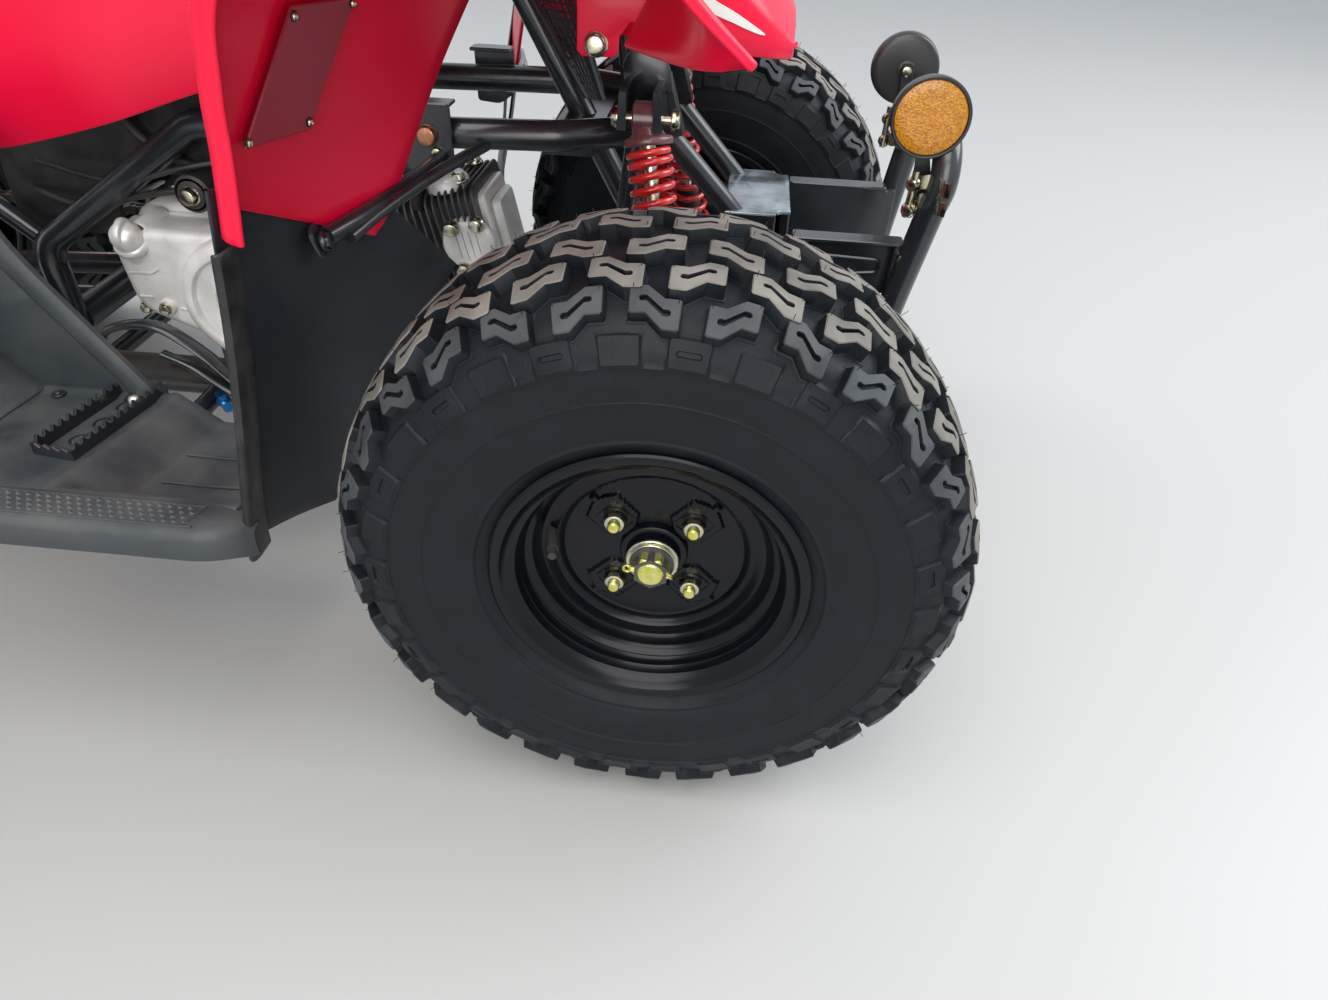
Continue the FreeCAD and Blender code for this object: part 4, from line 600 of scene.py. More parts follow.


# The brackets at the front: folded and welded steel plate. A gusset ends each upper rail, a saddle plate
# covers the feet of the down tubes, and a sheet of pierced mesh stands inside each wing.
# The saddle's top mixes pale bluish grey patches into its black: a painted highlight of the window.
plate_painted_highlight = finish("plate_painted_highlight", (0.12, 0.15, 0.17), (0.42, 0.50, 0.54), 0.20, 0.25, scale=42,
                       fine_scale=500, bump=0.15, dust=0.15, metallic=0.55, Coat_Weight=0.4)
copper = finish("copper_bolt", (0.55, 0.24, 0.13), (0.36, 0.18, 0.12), 0.35, 0.2, scale=200, bump=0.2,
                metallic=0.8)
PLATE_MM, GUSSET_Y, GUSSET_TOP = 3.5, -121.0, 492.0
ALONG, UP = (1, 0, 0), (0, 0, 1)
brackets = Form()
gusset = rounded([(276, GUSSET_TOP), (318, GUSSET_TOP), (318, 446), (300, 434), (276, 436)], 4)
brackets.prism(gusset, (0, PLATE_MM, 0), (0, GUSSET_Y, 0), bevel=0.8)
brackets.prism([(276, 4), (318, 4), (318, 22), (276, 22)], (0, 0, PLATE_MM),
               (0, GUSSET_Y - 2, GUSSET_TOP - PLATE_MM), ALONG, TO_LEFT, bevel=0.8)
hexagon(brackets, (297, GUSSET_Y, 466), TO_RIGHT, across=14.5, height=7.0, slot=2, flange_r=9.5)
hexagon(brackets, (304, GUSSET_Y, 452), TO_RIGHT, across=8.0, height=5.0, slot=1, flange_r=5.6)
brackets.prism(rounded([(462, 500), (504, 500), (500, 522), (489, 540), (470, 540), (459, 522)], 5),
               (0, 4, 0), (0, -80, 0), bevel=1.0, steps=2)
brackets.bar(smooth_line([(440, -62, 540), (452, -60, 575), (476, -58, 580), (482, -58, 552),
                          (470, -60, 520)], 8), 6.5, 16, squash=0.6)
brackets.prism([(0, 0), (38, 0), (64, -80), (52, -80)], (0, 2, 0), (386, -114, 586), bevel=0.5)
MESH = np.array([(386, -122, 586), (424, -132, 584), (450, -128, 505), (436, -124, 505)], float)
MESH_WIRE, MESH_EDGE, CROSS_WIRES, LONG_WIRES = 1.1, 2.6, 15, 8
for share in np.arange(CROSS_WIRES) / (CROSS_WIRES - 1):
    brackets.bar([MESH[0] + (MESH[3] - MESH[0]) * share, MESH[1] + (MESH[2] - MESH[1]) * share], MESH_WIRE,
                 6)
for share in np.arange(LONG_WIRES) / (LONG_WIRES - 1):
    wire_r = MESH_EDGE if share in (0, 1) else MESH_WIRE
    brackets.bar([MESH[0] + (MESH[1] - MESH[0]) * share, MESH[3] + (MESH[2] - MESH[3]) * share], wire_r, 6)
brackets = brackets.paired()
brackets.piece("front_brackets", "chassis", [frame_paint, zinc, copper], sharp=38)

saddle = Form()
notch = [(603, -65), (603, -61), (604.5, -57.5), (607, -55), (610.5, -53.6), (617, -53)]
top_line = [(555, 65), (555, -65)] + notch + [(x, -y) for x, y in notch[::-1]]
saddle.prism(top_line, (0, 0, 4), (0, 0, 394), ALONG, TO_LEFT, bevel=1.2, steps=3)
front_fold = rounded([(-53, 340), (53, 340), (53, 397), (-53, 397)], 3)
saddle.prism(front_fold, (PLATE_MM, 0, 0), (613, 0, 0), TO_LEFT, UP, slot=1, bevel=1)
for sign in (-1, 1):
    saddle.prism(rounded([(556, 380), (603, 374), (603, 397), (556, 397)], 3), (0, 3, 0),
                 (0, sign * 64 - 1.5, 0), slot=1, bevel=1)
saddle.piece("saddle_plate_folded", "chassis", [plate_painted_highlight, frame_paint], sharp=38,
             replaces="saddle_plate")

stays = Form()
stay_path = smooth_line([(306, -112, 449), (306, -140, 448), (301, -200, 449), (291, -262, 448),
                         (279, -308, 447)], 8)
stays.bar(stay_path, 6.6, 18)
stays.bar(smooth_line([(345, -112, 458), (322, -170, 453), (300, -240, 446), (288, -290, 440)], 8), 5.0, 16)
stays.prism(rounded([(-9, -12), (9, -12), (9, 12), (-9, 12)], 8), (3.2, 0.4, 0.6), (273, -313, 445),
            (0.16, -0.95, -0.2), (-0.2, -0.2, 0.95), bevel=0.8)
hexagon(stays, (278, -312, 445), (0.97, 0.1, 0.2), across=10.0, height=6.0, flange_r=7.0)
stays.paired().piece("wing_stays_bent", "chassis", [frame_paint], sharp=38, replaces="fender_stays")


# The bumper: a bent tube hoop on pressed side plates, bolted to the frame and sprayed gloss black. Each
# plate has a turned-out top lip and a long pressed rib.
bumper = Form()
HOOP = [(721, -80, 318), (726, -84, 350), (737, -91, 415), (742.5, -93, 440), (743.5, -87, 461),
        (742, -72, 477), (739, -55, 484), (738, -30, 486.5)]
HOOP_R, SIDE_Y, LOW_Y = 12.5, -72.0, -86.0
bumper.bar(smooth_line(HOOP + [(x, -y, z) for x, y, z in HOOP[::-1]], 7), HOOP_R, 28)
plates = Form()
side_line = rounded([(619, 386), (724, 384), (722, 332), (676, 324), (619, 342)], 5)
plates.prism(side_line, (0, PLATE_MM, 0), (0, SIDE_Y, 0), bevel=0.9)
top_lip = rounded([(619, -88), (722, -88), (722, -68), (619, -68)], 4)
plates.prism(top_lip, (0, 0, PLATE_MM), (0, 0, 383), ALONG, TO_LEFT, bevel=0.9)
rib = rounded([(640, 366), (704, 364), (704, 352), (668, 348), (640, 356)], 5, 6)
plates.bar([(x, SIDE_Y, z) for x, z in np.vstack([rib, rib[:1]])], 2.0, 8, capped=False)
low_line = rounded([(619, 332), (720, 322), (720, 296), (650, 306)], 6)
plates.prism(low_line, (0, PLATE_MM, 0), (0, LOW_Y, 0), bevel=0.9)
plates.prism(rounded([(712, 318), (730, 318), (732, 384), (714, 384)], 3), (0, 16, 0), (0, LOW_Y, 0),
             bevel=1.2)
low_rib = rounded([(650, 322), (706, 317), (706, 309), (650, 314)], 3.5, 5)
plates.bar([(x, LOW_Y, z) for x, z in np.vstack([low_rib, low_rib[:1]])], 1.6, 8, capped=False)
for x, y, z in ((628, SIDE_Y, 376), (628, SIDE_Y, 352), (722, LOW_Y, 372), (722, LOW_Y, 330)):
    hexagon(plates, (x, y, z), TO_RIGHT, across=11, height=7, slot=1, flange_r=8)
plates = plates.paired()
bumper.put(plates.points, plates.faces)
bumper.slots[-len(plates.faces):] = plates.slots
bumper.piece("bumper_welded", "chassis", [frame_paint, zinc], sharp=38, replaces="bumper")


# The side reflectors: amber prismatic discs in black cups, one on each upright. A zinc strap bent to a U
# clips each cup to the tube. Six lines part the lens, and its prisms are a fine honeycomb.
REFLECTOR = np.array((721.0, -88.0, 498.0))
housing_black = finish("housing_black", (0.012, 0.012, 0.013), (0.02, 0.02, 0.02), 0.35, 0.1, bump=0.1,
                       dust=0.05)
PRISMS_PER_METRE, PRISM_RELIEF = 620.0, 0.0008
prism_amber = finish("prism_amber", (0.72, 0.22, 0.004), (0.86, 0.34, 0.01), 0.22, 0.05, scale=200,
                     bump=0.1, Coat_Weight=0.35, Coat_Roughness=0.08)
tree = prism_amber.node_tree
spot = add(tree, "ShaderNodeTexCoord").outputs["Object"]
cells = add(tree, "ShaderNodeTexVoronoi", {"Vector": spot, "Scale": PRISMS_PER_METRE})
parted = add(tree, "ShaderNodeSeparateColor", {"Color": cells.outputs["Color"]})
tones = add(tree, "ShaderNodeValToRGB", {"Fac": parted.outputs["Red"]})
tones.color_ramp.elements[0].color = (0.34, 0.11, 0.002, 1)
tones.color_ramp.elements[1].color = (0.56, 0.25, 0.008, 1)
tree.links.new(tones.outputs["Color"], tree.nodes["Principled BSDF"].inputs["Base Color"])
relief = add(tree, "ShaderNodeBump", {"Height": cells.outputs["Distance"], "Strength": 0.5,
                                      "Distance": PRISM_RELIEF})
tree.links.new(relief.outputs["Normal"], tree.nodes["Principled BSDF"].inputs["Normal"])
amber_dark = finish("amber_line", (0.52, 0.16, 0.004), (0.60, 0.20, 0.006), 0.3, 0.05, scale=150, bump=0.1)
cups = Form()
CUP = [(-6, 0.05), (-6, 27), (-5, 31), (-3, 32.6), (5, 33.4), (7.5, 33.2), (8.2, 32.2), (8.0, 30.6),
       (5.5, 30.2), (5, 29)]
cups.turned(CUP, REFLECTOR, TO_RIGHT, 72)
cups.turned([(-8, 9), (-8.5, 8), (-8.5, 0.05)], REFLECTOR, TO_RIGHT, 24)
hexagon(cups, REFLECTOR + (0, 8.5, 0), TO_LEFT, across=9, height=6, slot=1, flange_r=6.5)
strap = [(716, 506), (727, 506), (730, 462), (736, 440), (736, 424), (724, 424), (719, 440)]
cups.prism(rounded(strap, 3), (0, 2.5, 0), (0, -78, 0), bevel=0.6)
CLIP_FOOT, CLIP_HALF_WIDE, CLIP_SHEET = (719.0, -112.0), 6, (1.4, -1.4, 0)
clip = smooth_line([(0, 0), (0, 14), (4, 20), (16, 20), (20, 14), (20, -2), (26, -8)], 5)
for lift in (428, 444):
    low, high = (np.stack([CLIP_FOOT[0] + clip[:, 0] * 0.9, CLIP_FOOT[1] + clip[:, 1],
                           lift + z + clip[:, 0] * 0.12], 1) for z in (-CLIP_HALF_WIDE, CLIP_HALF_WIDE))
    cups.grid([low, high, high + CLIP_SHEET, low + CLIP_SHEET], looped=True, slot=1)
for z in (424, 446):
    hexagon(cups, (716, -104, z), (-0.6, -0.8, 0), across=9.5, height=6, slot=1, flange_r=7)
cups.bar([(714, -104, 418), (715, -106, 436), (716, -106, 458)], 3.2, 10, slot=1)
cups.paired().piece("reflector_cups", "chassis", [housing_black, zinc], sharp=38,
                    replaces="reflector_housings")
lenses = Form()
lenses.turned([(5.2, 30.1), (6.6, 29.9), (7.2, 29.0), (7.3, 20), (7.4, 0.05)], REFLECTOR, TO_RIGHT, 72)
for degrees in range(8, 360, 60):
    way = np.insert(ray(degrees), 1, 0)
    lenses.bar([REFLECTOR + (0, -7.2, 0) + way * 0.5, REFLECTOR + (0, -7.0, 0) + way * 29], 0.35, 6, slot=1)
lenses.paired().piece("reflector_prisms", "chassis", [prism_amber, amber_dark], sharp=38,
                      replaces="reflector_lenses")


# The tyres: two sizes of knobbly balloon tyre, moulded in black rubber round a soft carcass. Rows of
# stepped, slotted lugs stand on the crown and shoulders, and flat tabs run down the upper sidewall.
FRONT_CENTRE = (525.0, -345.0, 241.5)
REAR_CENTRE = (-525.0, -320.0, 228.5)
FRONT_CARCASS = [  # outboard of the tyre's middle, radius
    (0, 229.8), (15, 229.6), (32, 228.6), (50, 226.6), (64, 221.5), (76, 213), (83.5, 201), (86.2, 191.5),
    (87.4, 189.2), (86.6, 187), (87.0, 176), (86.8, 166), (87.2, 164.6), (86.4, 163), (84.0, 150), (80.4,
                                                                                                    137),
    (78.6, 132.5), (79.0, 129.5), (76.4, 127), (73.4, 122.5), (71.6, 118), (71, 110),
]
REAR_CARCASS = [
    (0, 217.6), (30, 217.2), (60, 215.8), (84, 212), (100, 204), (109, 192), (114, 180), (115.6, 177.6),
    (114.8, 175), (115.6, 165), (114.5, 150), (110.5, 138), (108.8, 133.5), (109.2, 130.5), (106.6, 128),
    (102.6, 123), (99.6, 118), (99, 110),
]
FRONT_ROWS = [
    # along the profile, height, half length, half width, step, first angle, slot, finish, hairs
    (20.0, 11.6, 17.0, 10.5, 4.4, 91.4, True, 1, True), (50.0, 11.0, 16.5, 10.5, 4.6, 84.6, True, 1, True),
    (72.6, 9.4, 16.0, 10.0, 4.6, 90.3, True, 2, True), (95.5, 2.4, 14.5, 9.6, 0.0, 84.0, False, 0, False),
]
REAR_ROWS = [
    (25.0, 10.6, 18.0, 13.0, 4.4, 90.0, True, 1, True), (63.0, 10.2, 17.5, 13.0, 4.6, 84.0, True, 1, True),
    (98.0, 8.8, 17.0, 12.5, 4.6, 90.0, True, 2, True), (126.0, 2.4, 14.0, 10.0, 0.0, 84.0, False, 0, False),
]
LUG_PITCH, LUG_POINTS = 12.0, 12
CROWN_REACH = 70.0  # rows nearer the middle than this step the other way
HAIR_R, HAIRS_BELOW, HAIRS_AHEAD = 0.28, -0.72, 0.84


def lug_ring(half_long, half_wide, grow, step, knee):
    """Twelve points round a stepped lug or its slot: along the tread and across it."""
    long, wide = half_long + grow, half_wide + grow
    cut = 1.2
    side = [(-long, -wide + cut), (-long + cut, -wide), (-knee, -wide), (knee, -wide), (long - cut, -wide),
            (long, -wide + cut)]
    ring = np.array(side + [(-a, -b) for a, b in side])
    shift = step * np.clip(-ring[:, 0] / knee, -1, 1)
    return ring + np.stack([shift * 0, shift], 1)


def lug(height, half_long, half_wide, step, slotted):
    """A lug's rings of (along, across, height) points and its faces with their kind: wall, top or slot."""
    knee = half_long / 3
    body = [lug_ring(half_long, half_wide, grow, step, knee) for grow in (2.6, 2.3, 1.0, 0.0, -0.7)]
    levels = [-3.0, 0.5, 0.8, height - 0.8, height]
    if slotted:
        body += [lug_ring(half_long * 0.6, 1.7, grow, step, knee) for grow in (0.4, 0.0, -0.3)]
        levels += [height, height - 0.5, height - min(3.2, height * 0.6)]
    rings = [np.column_stack([ring, np.full(LUG_POINTS, level)]) for ring, level in zip(body, levels)]
    faces, tops = [], []
    for i in range(len(body) - 1):
        low, high = i * LUG_POINTS, (i + 1) * LUG_POINTS
        for j in range(LUG_POINTS):
            after = (j + 1) % LUG_POINTS
            faces.append((low + j, low + after, high + after, high + j))
            tops.append(i in (3, 4))
    last = (len(body) - 1) * LUG_POINTS
    for j in range(5):
        faces.append((last + j, last + j + 1, last + 10 - j, last + 11 - j))
        tops.append(not slotted)
    return np.array(rings).reshape(-1, 3), faces, tops


def tyre(centre, carcass, rows, hair_seed):
    """The whole tyre: the carcass turned, then every lug, tab and moulding hair set on it."""
    form = Form()
    cx, cy, cz = centre
    half = smooth_line(carcass, 4)
    full = np.vstack([half[::-1] * (-1, 1), half[1:]])
    form.turned([(-s, r) for s, r in full], centre, steps=180)
    length = np.concatenate([[0], np.cumsum(np.linalg.norm(np.diff(half, axis=0), axis=1))])
    rng = np.random.default_rng(hair_seed)

    def placed(along, across, height, middle, angle, side):
        t = middle + across
        s, r = np.interp(t, length, half[:, 0]), np.interp(t, length, half[:, 1])
        lean_s = np.interp(middle + 4, length, half[:, 0]) - np.interp(middle - 4, length, half[:, 0])
        lean_r = np.interp(middle + 4, length, half[:, 1]) - np.interp(middle - 4, length, half[:, 1])
        size = math.hypot(lean_s, lean_r)
        s, r = s - lean_r / size * height, r + lean_s / size * height
        turn = math.radians(angle) + along / half[0, 1]
        return np.stack([cx + r * np.cos(turn), cy - side * s, cz + r * np.sin(turn)], 1)

    for middle, height, half_long, half_wide, step, first, slotted, slot, hairs in rows:
        for side in (1, -1):
            for k in range(round(360 / LUG_PITCH)):
                way = (1 if k % 2 else -1) * (1 if middle < CROWN_REACH else -1)
                angle = first + (k + (0 if side == 1 else 0.5)) * LUG_PITCH
                cut = slotted or k % 2 == 0
                points, faces, tops = lug(height, half_long, half_wide, way * step, cut)
                place = placed(points[:, 0], points[:, 1], points[:, 2], middle, angle, side)
                if side == 1:
                    faces = [face[::-1] for face in faces]
                start = len(form.faces)
                form.put(place, faces)
                form.slots[start:] = [slot if top else 0 for top in tops]
                ahead, up = ray(angle)
                if not hairs or up < HAIRS_BELOW or ahead > HAIRS_AHEAD:
                    continue
                for along in (-half_long + 2, half_long - 2):
                    edge = np.array([-half_wide, -half_wide]) + 2.5 - way * step * np.sign(along)
                    rises = np.array([height - 0.6, height + rng.uniform(2.5, 5.5)])
                    at = placed(np.array([along, along]), edge, rises, middle, angle, side)
                    at[1] += rng.normal(0, 0.8, 3)
                    form.bar(at, HAIR_R, 3)
    return form


def rubber(name, colour, shade, roughness, dust):
    """Moulded rubber: matt, scuffed, with a waxy bloom."""
    return finish(name, colour, shade, roughness, 0.22, scale=28.0, fine_scale=420.0, bump=0.35, dust=dust,
                  Sheen_Weight=0.02, Sheen_Roughness=0.4, Specular_IOR_Level=0.22)


# The carcass black leans blue: a painted reflection of the cool window light.
carcass_rubber = rubber("carcass_rubber", (0.0035, 0.005, 0.0075), (0.007, 0.0095, 0.013), 0.52, 0.015)
worn_lug_rubber = rubber("worn_lug_rubber", (0.108, 0.102, 0.090), (0.215, 0.203, 0.178), 0.66, 0.22)
shoulder_rubber = rubber("shoulder_rubber", (0.030, 0.034, 0.038), (0.060, 0.065, 0.070), 0.52, 0.12)
RUBBERS = [carcass_rubber, worn_lug_rubber, shoulder_rubber]
front_tyre = tyre(FRONT_CENTRE, FRONT_CARCASS, FRONT_ROWS, 3)
front_tyre.piece("front_tyre_right_moulded", "right_front_wheel", RUBBERS, replaces="front_tyre_right")
front_tyre.mirrored().piece("front_tyre_left_moulded", "left_front_wheel", RUBBERS,
                            replaces="front_tyre_left")
rear_tyre = tyre(REAR_CENTRE, REAR_CARCASS, REAR_ROWS, 4)
rear_tyre.paired().piece("rear_tyres_moulded", "rear_wheels", RUBBERS, replaces="rear_tyres")


# The rims: two pressed steel halves welded together and sprayed satin black. The flange is rolled, the
# ledge and well step down to a dished disc, and a raised cross with a kite-shaped pad stiffens each bolt
# seat.
FRONT_RIM = [  # outboard of the wheel's middle, radius: from the outboard flange to the disc
    (71.4, 117.6), (73.0, 119.2), (75.0, 118.9), (76.2, 117.2), (76.3, 113.5), (75.2, 110.8), (71.5, 108.2),
    (68.6, 105.2), (67.2, 102.2), (66.4, 101.0), (60.0, 99.4), (59.4, 98.9), (58.6, 99.0), (52.5, 97.0),
    (51.9, 96.4), (51.0, 96.4), (49.0, 93.0), (47.6, 91.0), (44.5, 89.6),
    (40.0, 88.6), (36.8, 86.2), (36.6, 82.5), (37.8, 78.6), (38.2, 75.5), (36.8, 72.8),
    (33.5, 70.8), (31.0, 69.6), (30.2, 67.5),
]
RIM_BACK = [  # the same skin seen from inboard: barrel, inner ledge and inner flange
    (28.0, 66.5), (28.5, 70.5), (33.5, 73.8), (34.6, 76.5), (32.4, 84.0), (28.0, 86.6),
    (20.0, 88.4), (-20, 89.4), (-38, 90.2), (-47, 93.5), (-51, 97.0), (-66, 101.0), (-68.6, 105.2),
    (-71.5, 108.2), (-75.2, 110.8), (-76.3, 113.5), (-76.2, 117.2), (-75.0, 118.9), (-73.0, 119.2), (-71.4,
                                                                                                     117.6),
]
WELL_POINTS, WEB_POINTS = 19, 6  # how many of them are the well, from outboard, and the web, from inboard
DISC_FACE, DISC_BACK, HUB_HOLE, EMBOSSED_R, RIM_STEPS, FACE_STEPS = 30.2, 27.2, 26.8, 66.0, 160, 224
STUD_CIRCLE, STUD_ANGLES = 42.0, (45, 135, 225, 315)
REAR_RIM_SHIFT, REAR_DISC_SHIFT = 28.0, 10.0
PAD_HALF, PAD_END, PAD_RISE, SEAT_HALF, SEAT_SINK, ARM_HALF = 17.0, 57.0, 3.0, 11.8, 1.3, 3.2
QUARTER = math.pi / 2


def pad_height(x, z, hole):
    """How far the disc's cross and its kite-shaped pads stand up at a point."""
    radius = np.hypot(x, z)
    angle = np.arctan2(z, x)
    off = np.abs(angle % QUARTER - QUARTER / 2)
    along, across = radius * np.cos(off), radius * np.sin(off)
    neck = 8 + (along - hole) * 1.4
    end = PAD_HALF - (along - PAD_END) * 2.2
    arm = np.maximum(np.minimum(np.minimum(neck, end), PAD_HALF), ARM_HALF)
    outer = np.clip((arm - across) / 1.6, 0, 1)
    inner = np.clip((SEAT_HALF - np.maximum(across, np.abs(along - STUD_CIRCLE))) / 1.4, 0, 1)
    rise = outer * outer * (3 - 2 * outer) * PAD_RISE - inner * inner * (3 - 2 * inner) * SEAT_SINK
    return rise * np.clip((68.5 - radius) / 2.5, 0, 1)


def rim(centre, profile, back, face, back_face):
    """The rim's turned skin and its embossed disc with a cut centre hole."""
    cx, cy, cz = centre
    form = Form()
    for line in (profile, back):
        form.turned([(-s, r) for s, r in line], centre, steps=RIM_STEPS)
    radii = np.concatenate([np.linspace(HUB_HOLE, EMBOSSED_R, 40), [profile[-1][1]]])
    angle = np.arange(FACE_STEPS) * 2 * math.pi / FACE_STEPS
    x, z = radii[:, None] * np.cos(angle), radii[:, None] * np.sin(angle)
    rise = pad_height(x, z, HUB_HOLE)
    front = np.stack([cx + x, cy - face - rise, cz + z], 2)
    rear = np.stack([cx + x, cy - back_face - rise, cz + z], 2)
    form.grid(front, closed=True)
    form.grid(rear, closed=True)
    form.grid(np.stack([front[0], rear[0]]), closed=True)
    stem = np.array([cx - 77.5, cy - profile[WELL_POINTS - 1][0] + 4, cz + 18.0])
    form.bar([stem, stem + (3, -9, 0), stem + (5, -21, 0)], 4.2, 14, slot=1)
    form.bar([stem + (5, -21, 0), stem + (6, -29, 0)], 3.3, 12, slot=1)
    return form


rim_black = finish("rim_black", (0.002, 0.0025, 0.004), (0.004, 0.0045, 0.007), 0.24, 0.08, scale=9.0,
                   fine_scale=1400.0, bump=0.03, dust=0.0, Specular_IOR_Level=0.24)
valve_rubber = finish("valve_rubber", (0.012, 0.012, 0.012), (0.03, 0.03, 0.03), 0.6, dust=0.1)
front_rim = rim(FRONT_CENTRE, FRONT_RIM, RIM_BACK, DISC_FACE, DISC_BACK)
front_rim.piece("front_rim_right_pressed", "right_front_wheel", [rim_black, valve_rubber],
                replaces="front_rim_right")
front_rim.mirrored().piece("front_rim_left_pressed", "left_front_wheel", [rim_black, valve_rubber],
                           replaces="front_rim_left")
rear_profile = [(s + REAR_RIM_SHIFT, r) for s, r in FRONT_RIM[:WELL_POINTS]]
rear_profile += [(s + REAR_DISC_SHIFT, r) for s, r in FRONT_RIM[WELL_POINTS:]]
rear_back = [(s + REAR_DISC_SHIFT, r) for s, r in RIM_BACK[:WEB_POINTS]]
rear_back += [(s - REAR_RIM_SHIFT * (s < 0), r) for s, r in RIM_BACK[WEB_POINTS:]]
rear_rim = rim(REAR_CENTRE, rear_profile, rear_back, DISC_FACE + REAR_DISC_SHIFT,
               DISC_BACK + REAR_DISC_SHIFT)
rear_rim.paired().piece("rear_rims_pressed", "rear_wheels", [rim_black, valve_rubber], replaces="rear_rims")


# The hubs: a steel flange behind the disc, four studs with flanged nuts, and a nose through the wheel's
# hole. On the front the spindle ends in two washers and a castle nut with its split pin. All of it is zinc
# plated.
NUT_ACROSS, NUT_HEIGHT, NUT_FLANGE_R, NUT_SEAT_RISE = 14.6, 9.6, 9.3, 1.7
THREAD_R, THREAD_PITCH, PIN_R, PIN_OUT = 4.9, 1.2, 1.3, 26.6
# each profile: distance inboard of the disc's face, radius
HUB_FLANGE = [(3.3, 12), (3.3, 55.0), (4.3, 56), (9.0, 56), (11.0, 40), (26, 34), (30, 31), (30, 12)]
HUB_NOSE = [(3.2, 26.2), (-3.0, 26.2), (-5.2, 25.4), (-6.0, 24.0), (-6.0, 21.4), (-10, 20.9), (-12, 20.2),
            (-12, 10.5)]
BRAKE_DRUM = [(26.4, 30), (26.4, 60), (28.4, 62), (49.4, 62), (50.2, 61), (50.2, 56.5), (32, 56), (32, 24),
              (46, 23), (46, 10.4)]
OUTER_WASHER = [(-12.3, 9), (-12.3, 19.2), (-13.0, 20.4), (-15.0, 20.4), (-15.7, 19.6), (-15.7, 9)]
INNER_WASHER = [(-15.8, 9), (-15.8, 16.8), (-16.2, 17.4), (-16.8, 17.4), (-17.2, 16.8), (-17.2, 9)]


def hub(centre, face, axle_nut):
    """Flange, nose, studs and flanged nuts, and at the rear the axle's own nut."""
    cx, cy, cz = centre
    form = Form()
    out = cy - face
    form.turned(HUB_FLANGE, (cx, out, cz), slot=2)
    form.turned(HUB_NOSE, (cx, out, cz), slot=3)
    if not axle_nut:
        form.turned(BRAKE_DRUM, (cx, out, cz), slot=2)
    for degrees in STUD_ANGLES:
        x, z = STUD_CIRCLE * ray(degrees) + (cx, cz)
        seat = out - NUT_SEAT_RISE
        hexagon(form, (x, seat, z), TO_RIGHT, across=NUT_ACROSS, height=NUT_HEIGHT, flange_r=NUT_FLANGE_R)
        thread = [(-8.6 - i * THREAD_PITCH / 2, THREAD_R - 0.35 * (i % 2)) for i in range(10)]
        form.turned(thread + [(-14.8, 3.6), (-14.8, 0.05)], (x, seat, z), steps=20, slot=1)
    if axle_nut:
        hexagon(form, (cx, out - 12, cz), TO_RIGHT, across=30.0, height=14.0, flange_r=19.0)
        form.turned([(-24, 9.0), (-32, 9.0), (-33, 8), (-33, 0.05)], (cx, out, cz), steps=28, slot=0)
    return form


def spindle_end(centre, face):
    """Two washers, the castle nut and its split pin on the end of the front spindle."""
    cx, cy, cz = centre
    form = Form()
    out = cy - face
    form.turned(OUTER_WASHER, (cx, out, cz))
    form.turned(INNER_WASHER, (cx, out, cz))
    hexagon(form, (cx, out - 17.2, cz), TO_RIGHT, across=24.6, height=11.6, slot=1, notches=True)
    form.turned([(-24, 10.1), (-30.0, 10.1), (-31.0, 9.0), (-31.0, 0.05)], (cx, out, cz), steps=28, slot=1)
    pin = np.array([(-15, -PIN_OUT, 3.0), (12, -PIN_OUT, -1.0), (15.5, -24.5, -4.0),
                    (15.0, -20.5, -8.0)]) + (cx, out, cz)
    for apart in ((0, 0, 0), (0, -0.6, -2.0)):
        form.bar(smooth_line(pin + apart, 5), PIN_R, 8, slot=1)
    loop = np.linspace(-math.pi * 0.85, math.pi * 0.85, 14)
    eye = np.stack([cx - 17.5 - 3 * np.cos(loop), out - PIN_OUT - 0.2 + loop * 0,
                    cz + 2 + 3 * np.sin(loop)], 1)
    form.bar(eye, 1.2, 8, slot=1)
    return form


HUB_FINISHES = [zinc, yellow_zinc, cast_grey, rim_black]
front_hub = hub(FRONT_CENTRE, DISC_FACE, False)
front_hub.piece("front_hub_right_plated", "right_front_wheel", HUB_FINISHES, replaces="front_hub_right")
front_hub.mirrored().piece("front_hub_left_plated", "left_front_wheel", HUB_FINISHES,
                           replaces="front_hub_left")
spindle = spindle_end(FRONT_CENTRE, DISC_FACE)
spindle.piece("spindle_nut_right", "right_knuckle", HUB_FINISHES)
spindle.mirrored().piece("spindle_nut_left", "left_knuckle", HUB_FINISHES)
rear_hub = hub(REAR_CENTRE, DISC_FACE + REAR_DISC_SHIFT, True)
rear_face = REAR_CENTRE[1] - DISC_FACE - REAR_DISC_SHIFT
rear_hub.turned([(9, 26), (48, 24), (50, 22), (50, 15)], (REAR_CENTRE[0], rear_face, REAR_CENTRE[2]),
                slot=2)
rear_hub = rear_hub.paired()
rear_hub.turned([(0, 14.9), (640, 14.9)], (REAR_CENTRE[0], -320, REAR_CENTRE[2]), steps=40, slot=0)
rear_hub.piece("rear_axle_and_hubs", "rear_wheels", HUB_FINISHES, replaces="rear_axle")
dress(["knuckle_right", "knuckle_left"], cast_grey)


